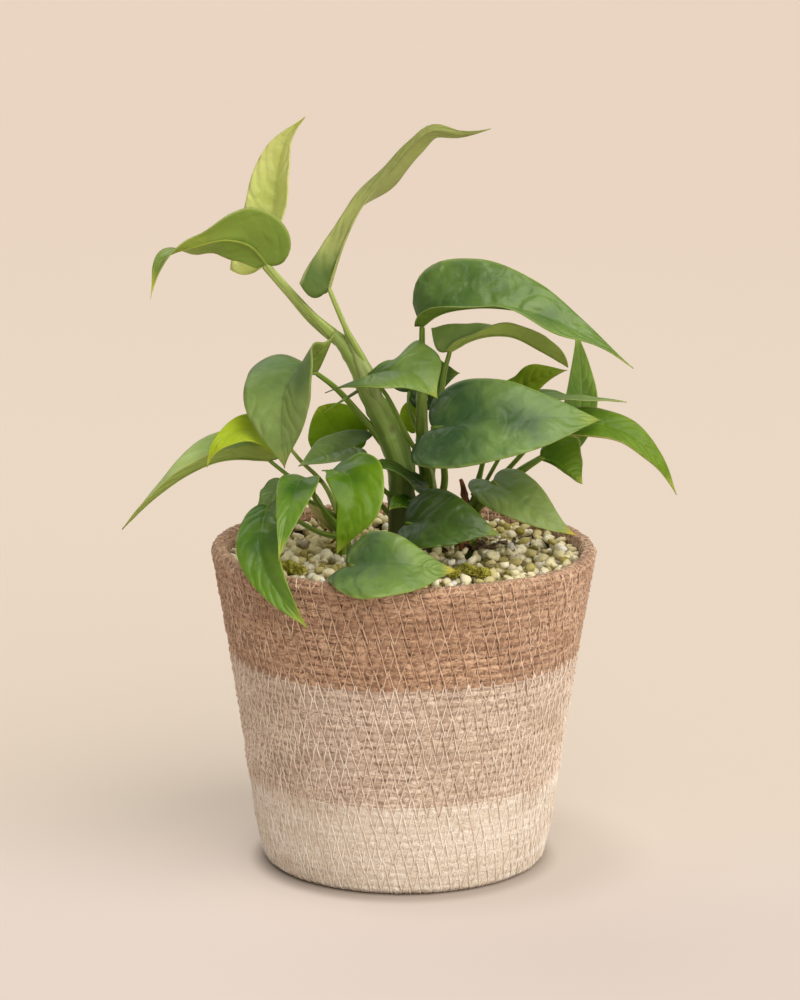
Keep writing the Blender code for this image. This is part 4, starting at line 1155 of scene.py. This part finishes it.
def blade_grid(sizes, rows, columns):
    """Place the points of a blade: one row across for each step from joint to tip."""
    s = np.linspace(0, 1, rows + 1)
    fine = smooth_path(sizes["midrib"], rows * 8)
    run = unit(np.gradient(fine, axis=0))[::8]
    midrib = fine[::8]
    face = unit(read_along(sizes["face"], s))
    up = unit(face - (face * run).sum(axis=1, keepdims=True) * run)
    side = np.cross(run, up)
    half = sizes["width"] / 2 * width_share(s, sizes["start"], sizes["taper"])
    scale = read_along(sizes["halves"], s)
    grid = np.zeros((rows + 1, 2 * columns + 1, 3))
    for j in range(-columns, columns + 1):
        t = abs(j) / columns
        which = 1 if j > 0 else 0
        slopes = np.radians(read_along(sizes["right" if j > 0 else "left"], s))
        spike = t**3 * (1 - s) ** 14
        out = t * half * scale[:, which] + sizes["points"][which][0] * spike
        shares = np.linspace(0, t, 9)[:-1]
        angles = slopes[:, :1] + (slopes[:, 1:] - slopes[:, :1]) * shares
        across = out * np.cos(angles).mean(axis=1)
        lift = out * np.sin(angles).mean(axis=1)
        reach = sizes["lobes"][which] * (1 - s) ** 3.5 * sin(0.72 * pi * t**0.8)
        reach = reach + sizes["points"][which][1] * spike
        phase = sizes["turn"] + (1.1 if j > 0 else 0.2)
        ripple = sizes["wave"] * t * t * np.sin(5 * pi * s + phase) * (1 - s)
        ripple = ripple * np.minimum(1, s * 6)
        sign = 1 if j > 0 else -1
        grid[:, j + columns] = (midrib + sign * across[:, None] * side
                                + (lift + ripple)[:, None] * up - reach[:, None] * run)
    return grid, up

# %% [markdown]
# ## Finish of a leaf
#
# A leaf has a waxy upper side, mid to dark green, with a paler midrib and side veins that leave
# it and bend towards the tip. The flesh between the veins is slightly raised, which breaks up
# the reflection, and its swellings carry a painted sheen in a paler blue-grey green. The margin
# is thin, so it lets light through and looks lighter, and some tips have turned yellow. The
# underside is paler and duller. All patterns follow the leaf's own UV map, where u goes across
# and v goes from the joint to the tip.

# %% Upper side and underside
VEINS = 8.0


def vein_rungs(tree, where, across, along):
    """Share of the way, 0 to 0.5, from the nearest side vein to the middle between two."""
    wander = node(tree, "ShaderNodeTexNoise", {"Vector": where, "Scale": 55.0, "Detail": 2.0})
    bent = sums(tree, "MULTIPLY", sums(tree, "POWER", across, 1.35), 0.22)
    stray = sums(tree, "MULTIPLY", sums(tree, "SUBTRACT", wander.outputs[0], 0.5), 0.3)
    place = sums(tree, "ADD", sums(tree, "SUBTRACT", along, bent), stray)
    return sums(tree, "PINGPONG", sums(tree, "MULTIPLY", place, VEINS), 0.5)


def leaf_sides(name, top, deep, edge, tip, under, sheen=0.42, tip_from=0.93, vein="#8FAE62",
               painted_sheen="#86A184", relief=0.6, gloss=0.45, base=None):
    """Make the finishes of the upper side and the underside of one kind of leaf."""
    sides = []
    for side in ("top", "underside"):
        made, tree, shader = new_material(name + "_" + side)
        uv = node(tree, "ShaderNodeUVMap", uv_map="UVMap").outputs[0]
        where = node(tree, "ShaderNodeTexCoord").outputs["Object"]
        split = node(tree, "ShaderNodeSeparateXYZ", {0: uv})
        across = sums(tree, "ABSOLUTE", sums(tree, "MULTIPLY_ADD", split.outputs[0], 2.0, -1.0))
        along = split.outputs[1]
        rung = vein_rungs(tree, where, across, along)
        veins = fade(tree, rung, 0.0, 0.05, 1.0, 0.0)
        rib = fade(tree, across, 0.008, 0.04, 1.0, 0.0)
        cells = node(tree, "ShaderNodeTexNoise", {"Vector": where, "Scale": 700.0,
                                                  "Detail": 2.0})
        moved = node(tree, "ShaderNodeMapping", {"Vector": where, "Location": (0.02, 0.0, 0.01)})
        patch = node(tree, "ShaderNodeTexNoise", {"Vector": moved.outputs[0], "Scale": 60.0,
                                                  "Detail": 3.0})
        swell = node(tree, "ShaderNodeTexNoise", {"Vector": where, "Scale": 120.0,
                                                  "Detail": 1.5, "Distortion": 0.8})
        if side == "top":
            spread = sums(tree, "MULTIPLY_ADD", patch.outputs[0], 0.8, 0.1)
            spread = sums(tree, "MULTIPLY_ADD", along, 0.45, spread)
            spread = sums(tree, "MULTIPLY_ADD", across, 0.1, spread)
            tone = blend(tree, fade(tree, spread, 0.5, 0.94), linear(deep), linear(top))
            # Painted sheen: paler blue-grey patches on the swellings stand in for their
            # reflection.
            tone = blend(tree, fade(tree, swell.outputs[0], 0.5, 0.8, 0.0, 0.14), tone,
                         linear(painted_sheen))
            tone = blend(tree, sums(tree, "MULTIPLY", veins, 0.22), tone, linear(vein))
            tone = blend(tree, sums(tree, "MULTIPLY", rib, 0.5), tone, linear(vein))
        else:
            tone = blend(tree, fade(tree, patch.outputs[0], 0.3, 0.7, 0.0, 0.35), linear(under),
                         linear(deep))
            tone = blend(tree, sums(tree, "MULTIPLY", veins, 0.2), tone, linear(edge))
            tone = blend(tree, fade(tree, along, 0.25, 0.8, 0.0, 0.4), tone, linear(tip))
        # base darkens the start of the blade: painted shade of its curled base lobes.
        if base:
            tone = blend(tree, fade(tree, along, 0.07, 0.2, 0.9, 0.0), tone, linear(base))
        tone = blend(tree, fade(tree, across, 0.93, 0.99, 0.0, 0.6), tone, linear(edge))
        tone = blend(tree, fade(tree, along, tip_from - 0.12, min(tip_from + 0.05, 1.0)), tone,
                     linear(tip))
        tree.links.new(tone, shader.inputs["Base Color"])
        quilt = sums(tree, "MULTIPLY", fade(tree, rung, 0.0, 0.4),
                     fade(tree, patch.outputs[0], 0.4, 0.6, 0.05, 0.4))
        height = sums(tree, "ADD", sums(tree, "MULTIPLY_ADD", cells.outputs[0], 0.08, quilt),
                      sums(tree, "MULTIPLY", swell.outputs[0], 1.1))
        bump = node(tree, "ShaderNodeBump", {"Height": height, "Strength": relief,
                                             "Distance": 0.0012})
        tree.links.new(bump.outputs[0], shader.inputs["Normal"])
        shader.inputs["Roughness"].default_value = sheen if side == "top" else sheen + 0.15
        shader.inputs["Specular IOR Level"].default_value = gloss if side == "top" else 0.4 * gloss
        shader.inputs["Subsurface Weight"].default_value = 0.12
        shader.inputs["Subsurface Radius"].default_value = (0.5, 1.0, 0.2)
        shader.inputs["Subsurface Scale"].default_value = 0.002
        sides.append(made)
    return sides


KINDS = {
    "mature": dict(top="#728E3C", deep="#486626", edge="#8AA242", tip="#9CAE44",
                   under="#6E8832", vein="#5E7E30"),
    "quilted": dict(top="#708E40", deep="#456429", edge="#8EA24A", tip="#92A846",
                    under="#6E8A2E", vein="#64843A", sheen=0.36, relief=1.0,
                    painted_sheen="#A2B698"),
    "dark": dict(top="#44601A", deep="#28400C", edge="#68802A", tip="#7E9030",
                 under="#587020", sheen=0.36, painted_sheen="#6C8054", vein="#375416"),
    "blue_sheen": dict(top="#6F8E46", deep="#37572D", edge="#8AA246", tip="#94AA48",
                       under="#67812F", sheen=0.42, painted_sheen="#92A882", vein="#45652E",
                       relief=0.8),
    "grey_green": dict(top="#839C50", deep="#587636", edge="#98A258", tip="#9CAA54",
                       under="#80903E", sheen=0.48, painted_sheen="#A8B88E", vein="#54703A",
                       relief=0.8),
    "glossy": dict(top="#62861E", deep="#335A10", edge="#94A640", tip="#A2B43E",
                   under="#748C28", sheen=0.32, painted_sheen="#96AE6C", vein="#52801E", relief=0.45,
                   gloss=0.38),
    "bright": dict(top="#658A0A", deep="#406606", edge="#9AB23E", tip="#AABF44",
                   under="#88A42A", sheen=0.38, vein="#5E8414", painted_sheen="#8EA83C", relief=0.4,
                   gloss=0.3),
    "yellow_tip": dict(top="#75923F", deep="#466630", edge="#88A040", tip="#D8C240",
                       under="#788C34", tip_from=0.95, painted_sheen="#92A880", vein="#4A6830",
                       relief=0.9),
    "light_grey": dict(top="#869A50", deep="#607A38", edge="#A0AC52", tip="#D8C240",
                       under="#788C34", tip_from=0.95, painted_sheen="#A6B488", vein="#66803C"),
    "light_green": dict(top="#70902E", deep="#4E741E", edge="#A2B24A", tip="#A6B64A",
                        under="#7E9A34", vein="#A2BC58", painted_sheen="#A2B868"),
    "shaded": dict(top="#7A9020", deep="#587010", edge="#A09A50", tip="#9A9C4C",
                   under="#788E20", sheen=0.46, painted_sheen="#869A40", vein="#5A7214", gloss=0.1),
    "young": dict(top="#E0E88E", deep="#C8D46A", edge="#D8D48C", tip="#C8D05E",
                  under="#D6DE7C", vein="#BCCA60", sheen=0.42, painted_sheen="#E6EABC", relief=0.9),
    "young_dark": dict(top="#7E9638", deep="#5C7A2C", edge="#A6AC60", tip="#C0C44C",
                       under="#839A40", vein="#AAB866", sheen=0.42, painted_sheen="#95A566"),
    # pale_ridge has a dark base colour: painted shade in the curled lobes at the leaf's base.
    "pale_ridge": dict(top="#8A9A4C", deep="#6C803E", edge="#ACA678", tip="#A0A45E",
                       under="#AEB66C", vein="#9CAA62", painted_sheen="#A6AE74", base="#456022"),
    # This kind is painted much lighter than the leaf is: painted light, as if shining through
    # leaves in shade.
    "painted_glow": dict(top="#AEC474", deep="#84A052", edge="#AAAC66", tip="#9AA44E",
                  under="#A8BE60", vein="#809450", sheen=0.5, painted_sheen="#AEB884"),
    "dull": dict(top="#668038", deep="#4A622A", edge="#7E8C48", tip="#7E8E44",
                 under="#62742F", vein="#4A642A", painted_sheen="#7C8C68"),
    "backlit": dict(top="#6E8A10", deep="#54720A", edge="#86A020", tip="#869C24",
                    under="#66820A", sheen=0.5, painted_sheen="#7C962A", vein="#506E0A", gloss=0.06),
    "spring": dict(top="#6C8A20", deep="#4C6E12", edge="#B8A664", tip="#AEB84A",
                   under="#7E9626", sheen=0.42, painted_sheen="#9CB050", vein="#78961E", gloss=0.25),
    "lime": dict(top="#A6BA2C", deep="#8EA420", edge="#B2C04A", tip="#B2C04A",
                 under="#A6B82C", sheen=0.45, painted_sheen="#B4C45C", vein="#90AA28", gloss=0.1),
    "dry": dict(top="#C4B77A", deep="#AA985A", edge="#D3C98C", tip="#D3C98C",
                under="#BCAC6C", vein="#A39056", sheen=0.7, painted_sheen="#B8AB70"),
}
finishes = {kind: leaf_sides("leaf_" + kind, **look) for kind, look in KINDS.items()}
LOOKS = {
    "young_upright_leaf": "young", "young_hooked_leaf": "young_dark",
    "tall_twisted_leaf": "pale_ridge", "high_arched_leaf": "quilted",
    "low_arched_leaf": "painted_glow", "left_heart_leaf": "grey_green",
    "saddle_leaf": "mature", "large_front_leaf": "blue_sheen", "front_centre_leaf": "dark",
    "right_low_leaf": "light_grey", "front_low_leaf": "yellow_tip",
    "inner_drooping_leaf": "glossy", "rim_drooping_leaf": "glossy",
    "bright_front_leaf": "bright", "far_left_leaf": "painted_glow", "left_yellow_leaf": "lime",
    "left_round_leaf": "backlit", "left_grey_leaf": "dull", "left_small_leaf": "dull",
    "stem_foot_leaf": "dark", "centre_dark_leaf": "dark", "right_back_leaf": "shaded",
    "right_upright_leaf": "light_green", "right_drooping_leaf": "spring",
    "right_slim_leaf": "grey_green", "right_hooked_leaf": "spring",
    "small_lime_leaf": "lime",
    "small_glossy_leaf": "glossy", "dry_bract": "dry",
}
print(len(finishes), "leaf finishes for", len(LOOKS), "leaves")

# %% [markdown]
# ## Growing a leaf
#
# The blade is a fine grid, moved to the places worked out above, with soft dents and swellings
# and a shallow channel along the midrib. Solidify gives it the thickness of a leaf, with the
# underside finish on its lower face. The stalk is a tube that starts at the stem, widens there
# into a sheath, and runs on under the blade as its midrib, ever thinner, as it does on the real
# leaf. Up to the joint it has the stalk's skin, and from there on the finish of the underside.

# %% Blade, stalk and midrib
LEAF_ROWS = 44
LEAF_COLUMNS = 9
LEAF_THICK = 0.45
STALK_STEPS = 28
SHEATH_ROWS = 8
JOINT_ROWS = 4
ROWS_WITHOUT_RIB = 3
YOUNG_LOOKS = ("young", "young_dark", "lime", "pale_ridge")


def buckle(seed, u, v):
    """Soft dents and swellings of a blade, in millimetres, none at the midrib."""
    draw = Random(seed)
    total = 0
    for _ in range(6):
        total += sin(draw.uniform(1, 7) * u + draw.uniform(6, 26) * v + draw.uniform(0, tau))
    return 0.16 * total * min(1, 3 * abs(u))


def blade_sheet(sizes, seed):
    """Build the open sheet of one leaf."""
    rows, columns = LEAF_ROWS, LEAF_COLUMNS
    grid, up = blade_grid(sizes, rows, columns)
    bm = bmesh.new()
    bm.loops.layers.uv.new("UVMap")
    bmesh.ops.create_grid(bm, x_segments=2 * columns, y_segments=rows, size=0.5,
                          calc_uvs=True)
    for vert in bm.verts:
        u = 2 * vert.co.x
        v = vert.co.y + 0.5
        spot = grid[round(v * rows), round((vert.co.x + 0.5) * 2 * columns)]
        lift = buckle(seed, u, v) * min(1, sizes["width"] / 30) * (1 - v) * min(1, 6 * v)
        channel = 0.35 * np.exp(-((u / 0.07) ** 2)) * (1 - v)
        vert.co = Vector((spot + (lift - channel) * up[round(v * rows)]) * MM)
    bmesh.ops.remove_doubles(bm, verts=bm.verts, dist=0.00002)
    bm.normal_update()
    bm.faces.ensure_lookup_table()
    middle = grid[rows // 2, columns] * MM
    near = min(bm.faces, key=lambda f: (f.calc_center_median() - Vector(middle)).length)
    if near.normal.dot(Vector(up[rows // 2])) < 0:
        bmesh.ops.reverse_faces(bm, faces=bm.faces)
    return bm, up


def stalk_tube(sizes, up):
    """Build the stalk from the stem to the joint and on under the blade as its midrib."""
    foot = smooth_path([sizes["midrib"][0], *sizes["stalk"]], STALK_STEPS)[::-1]
    girth = sizes["girth"]
    thick = np.linspace(1.15, 0.78, len(foot) - 1) * girth
    thick[:SHEATH_ROWS] *= np.linspace(1.5, 1.0, SHEATH_ROWS)
    rows = LEAF_ROWS + 1
    thin = np.linspace(0.7, 0.1, rows) ** 1.3 / 0.7**0.3 * min(girth, 1.2)
    thin[JOINT_ROWS:] *= 0.75
    thin[1:JOINT_ROWS] *= np.linspace(0.95, 0.8, JOINT_ROWS - 1)
    sunk = (thin + LEAF_THICK) * np.minimum(1, np.arange(rows) / JOINT_ROWS)
    rib = smooth_path(sizes["midrib"], LEAF_ROWS) - sunk[:, None] * up
    path = np.vstack([foot[:-1], rib[:-ROWS_WITHOUT_RIB]])
    stalk = tube(path, np.append(thick, thin[:-ROWS_WITHOUT_RIB]))
    uv = stalk.loops.layers.uv.verify()
    joint = (len(foot) - 1) / len(path)
    for face in stalk.faces:
        past_joint = min(loop[uv].uv.y for loop in face.loops) > joint
        face.material_index = 1 if past_joint else 2
    return stalk


def grow_leaf(name, sizes):
    """Build one leaf as blade, midrib and stalk."""
    bm, up = blade_sheet(sizes, name)
    sheet = bpy.data.meshes.new("sheet")
    bm.to_mesh(sheet)
    bm.free()
    helper = bpy.data.objects.new("sheet", sheet)
    bpy.context.scene.collection.objects.link(helper)
    for look in finishes[LOOKS[name]]:
        sheet.materials.append(look)
    solidify = helper.modifiers.new("thickness", "SOLIDIFY")
    solidify.thickness = LEAF_THICK * MM
    solidify.offset = -1
    solidify.material_offset = 1
    graph = bpy.context.evaluated_depsgraph_get()
    whole = bmesh.new()
    solid = bpy.data.meshes.new_from_object(helper.evaluated_get(graph))
    whole.from_mesh(solid)
    bpy.data.objects.remove(helper, do_unlink=True)
    bpy.data.meshes.remove(solid)
    stalk = stalk_tube(sizes, up)
    one = bpy.data.meshes.new("stalk")
    stalk.to_mesh(one)
    stalk.free()
    whole.from_mesh(one)
    bpy.data.meshes.remove(one)
    young = LOOKS[name] in YOUNG_LOOKS
    skin = lime_skin if young else stalk_skin
    return store(name + "_blade", whole, [*finishes[LOOKS[name]], skin], [name])


total = 0
for leaf_name, leaf_sizes in LEAVES.items():
    total += triangles(grow_leaf(leaf_name, leaf_sizes))
print(len(LEAVES), "leaves,", total, "triangles")

# %% [markdown]
# ## Remains of older growth
#
# Two things are too slight to be leaves: the brown stub of a cut stalk that stands among the
# stems on the right, and the thin green spear of a leaf still rolled up, on the left of the
# saddle-shaped one.

# %% Stub and spear
def dry_bark(name, light, deep):
    """Dry, fibrous brown skin with cracks along it."""
    made, tree, shader = new_material(name)
    where = node(tree, "ShaderNodeTexCoord").outputs["Object"]
    long = node(tree, "ShaderNodeMapping", {"Vector": where, "Scale": (900.0, 900.0, 160.0)})
    fibres = node(tree, "ShaderNodeTexNoise", {"Vector": long.outputs[0], "Scale": 1.0,
                                               "Detail": 3.0})
    tone = blend(tree, fade(tree, fibres.outputs[0], 0.38, 0.62), linear(deep), linear(light))
    tree.links.new(tone, shader.inputs["Base Color"])
    bump = node(tree, "ShaderNodeBump", {"Height": fibres.outputs[0], "Strength": 0.9,
                                         "Distance": 0.0006})
    tree.links.new(bump.outputs[0], shader.inputs["Normal"])
    shader.inputs["Roughness"].default_value = 0.85
    return made


STEPS = 24
STUB = [(24.6, 17, 119), (23.2, 16, 134), (24.0, 14.8, 142), (22.4, 14, 149)]
SPEAR = [(-18, 1, 187), (-23, -2, 184.4), (-26, -4, 182.9), (-31, -8, 180)]
bark = dry_bark("dry_stalk_bark", "#96603C", "#50301C")
shares = np.linspace(0, 1, STEPS + 1)
stub_path = smooth_path(STUB, STEPS)
draw = Random(5)
stub_path[1:-1] += np.array([[draw.gauss(0, 0.16) for _ in range(3)] for _ in range(STEPS - 1)])
stub_size = np.interp(shares, [0, 0.7, 1], [1.9, 1.6, 0.9])
stub_size *= [draw.uniform(0.75, 1.2) for _ in range(STEPS + 1)]
stub = store("cut_stalk_stub", tube(stub_path, stub_size, sides=10), [bark])
spear_size = np.interp(shares, [0, 0.3, 1], [0.7, 0.6, 0.1])
spear = store("rolled_leaf_spear", tube(smooth_path(SPEAR, STEPS), spear_size, sides=10),
              [green_skin])
print("stub and spear:", triangles(stub) + triangles(spear), "triangles")

# %% [markdown]
# ## Floor, light and camera
#
# The plant stands on a wide, pale, warm floor that fills the whole view. A broad, soft lamp
# lights it from the front right, a weaker one from behind lets the thin leaves glow, and an
# even sky fills the shade. The floor has a painted glow of its own, which keeps shadows soft. It
# glows less close to the basket, centred a little to its right, which paints a soft shadow round
# it, and not at all under it and in a narrow ring at its foot, a painted contact shadow, so that
# the basket is seen to stand.
# The camera is a long lens, looking down at just under thirteen degrees, which gives the calm,
# flat perspective of a product picture. Colours are shown as they are, without a film curve.

# %% Floor
FLOOR_HALF = 30
FLOOR_DROP = 0.0002
NEAR_CHANGE = (-0.12, 0.12)
FAR_CHANGE = (0.6, 2.0)
# Painted shadows: the glow dims near the basket, most to its right, and dies in a ring at its
# foot.
GLOW_CENTRE = (0.016, 0, 0)
GLOW_REACH = (0.055, 0.09)
GLOW_POWER = (0.46, 0.68)
CONTACT_SHADOW_CENTRE = (0, -0.004, 0)
CONTACT_SHADOW_REACH = (0.054, 0.063)


def distance_from(tree, where, centre):
    """How far each place is from a centre, in metres."""
    return node(tree, "ShaderNodeVectorMath", {0: where, 1: centre},
                operation="DISTANCE").outputs["Value"]


def floor_material():
    """Matt opal board, warm and pale, with a painted glow that keeps shadows soft and painted
    shadows near the basket.
    """
    made, tree, shader = new_material("matt_opal_board")
    where = node(tree, "ShaderNodeTexCoord").outputs["Object"]
    grain = node(tree, "ShaderNodeTexNoise", {"Vector": where, "Scale": 1.2, "Detail": 2.0})
    depth = node(tree, "ShaderNodeSeparateXYZ", {0: where}).outputs[1]
    near = blend(tree, fade(tree, depth, *NEAR_CHANGE), linear("#B5AAA2"), linear("#B6AA9C"))
    far = blend(tree, grain.outputs[0], linear("#B3A598"), linear("#B7A99C"))
    tone = blend(tree, fade(tree, depth, *FAR_CHANGE), near, far)
    tree.links.new(tone, shader.inputs["Base Color"])
    tree.links.new(tone, shader.inputs["Emission Color"])
    away = distance_from(tree, where, GLOW_CENTRE)
    # Painted contact shadow: no glow within the ring at the basket's foot.
    foot = distance_from(tree, where, CONTACT_SHADOW_CENTRE)
    glow = sums(tree, "MULTIPLY", fade(tree, away, *GLOW_REACH, *GLOW_POWER),
                fade(tree, foot, *CONTACT_SHADOW_REACH))
    tree.links.new(glow, shader.inputs["Emission Strength"])
    shader.inputs["Roughness"].default_value = 0.9
    shader.inputs["Specular IOR Level"].default_value = 0.1
    return made


floor_mesh = bmesh.new()
bmesh.ops.create_grid(floor_mesh, x_segments=4, y_segments=4, size=FLOOR_HALF)
bmesh.ops.translate(floor_mesh, verts=floor_mesh.verts, vec=(0, 0, -FLOOR_DROP))
floor_data = bpy.data.meshes.new("floor")
floor_mesh.to_mesh(floor_data)
floor_mesh.free()
floor_data.materials.append(floor_material())
floor = bpy.data.objects.new("floor", floor_data)
bpy.context.scene.collection.objects.link(floor)

# %% Lamps and sky
LAMP_AWAY = 3


def far_lamp(name, from_right, height, power, colour, spread):
    """Hang a distant lamp. from_right turns it from the camera's side to the right, in degrees."""
    lamp = bpy.data.lights.new(name, "SUN")
    lamp.energy = power
    lamp.angle = radians(spread)
    lamp.color = linear(colour)[:3]
    holder = bpy.data.objects.new(name, lamp)
    away = Vector((sin(radians(from_right)) * cos(radians(height)),
                   -cos(radians(from_right)) * cos(radians(height)), sin(radians(height))))
    holder.location = away * LAMP_AWAY
    holder.rotation_euler = away.to_track_quat("Z", "Y").to_euler()
    bpy.context.scene.collection.objects.link(holder)


far_lamp("key", 38, 44, 2.95, "#FFF9F2", 70)
far_lamp("back", -150, 42, 0.6, "#FFFFFF", 50)
sky = bpy.data.worlds.new("studio")
sky.use_nodes = True
sky.node_tree.nodes["Background"].inputs["Color"].default_value = linear("#FFF8F0")
sky.node_tree.nodes["Background"].inputs["Strength"].default_value = 0.30
bpy.context.scene.world = sky
bpy.context.scene.view_settings.view_transform = "Standard"

# %% Camera
SENSOR = 36.0
FOCAL_PIXELS = 3666
PICTURE_PIXELS = 1000
TILT_DOWN = 12.65
view = bpy.data.cameras.new("camera")
view.sensor_width = SENSOR
view.lens = FOCAL_PIXELS * SENSOR / PICTURE_PIXELS
view.clip_end = 100.0
camera = bpy.data.objects.new("camera", view)
camera.location = (-0.00155, -1.400, 0.458)
camera.rotation_euler = (radians(90 - TILT_DOWN), 0, 0)
bpy.context.scene.collection.objects.link(camera)
bpy.context.scene.camera = camera
print("camera", [round(v, 3) for v in camera.location])
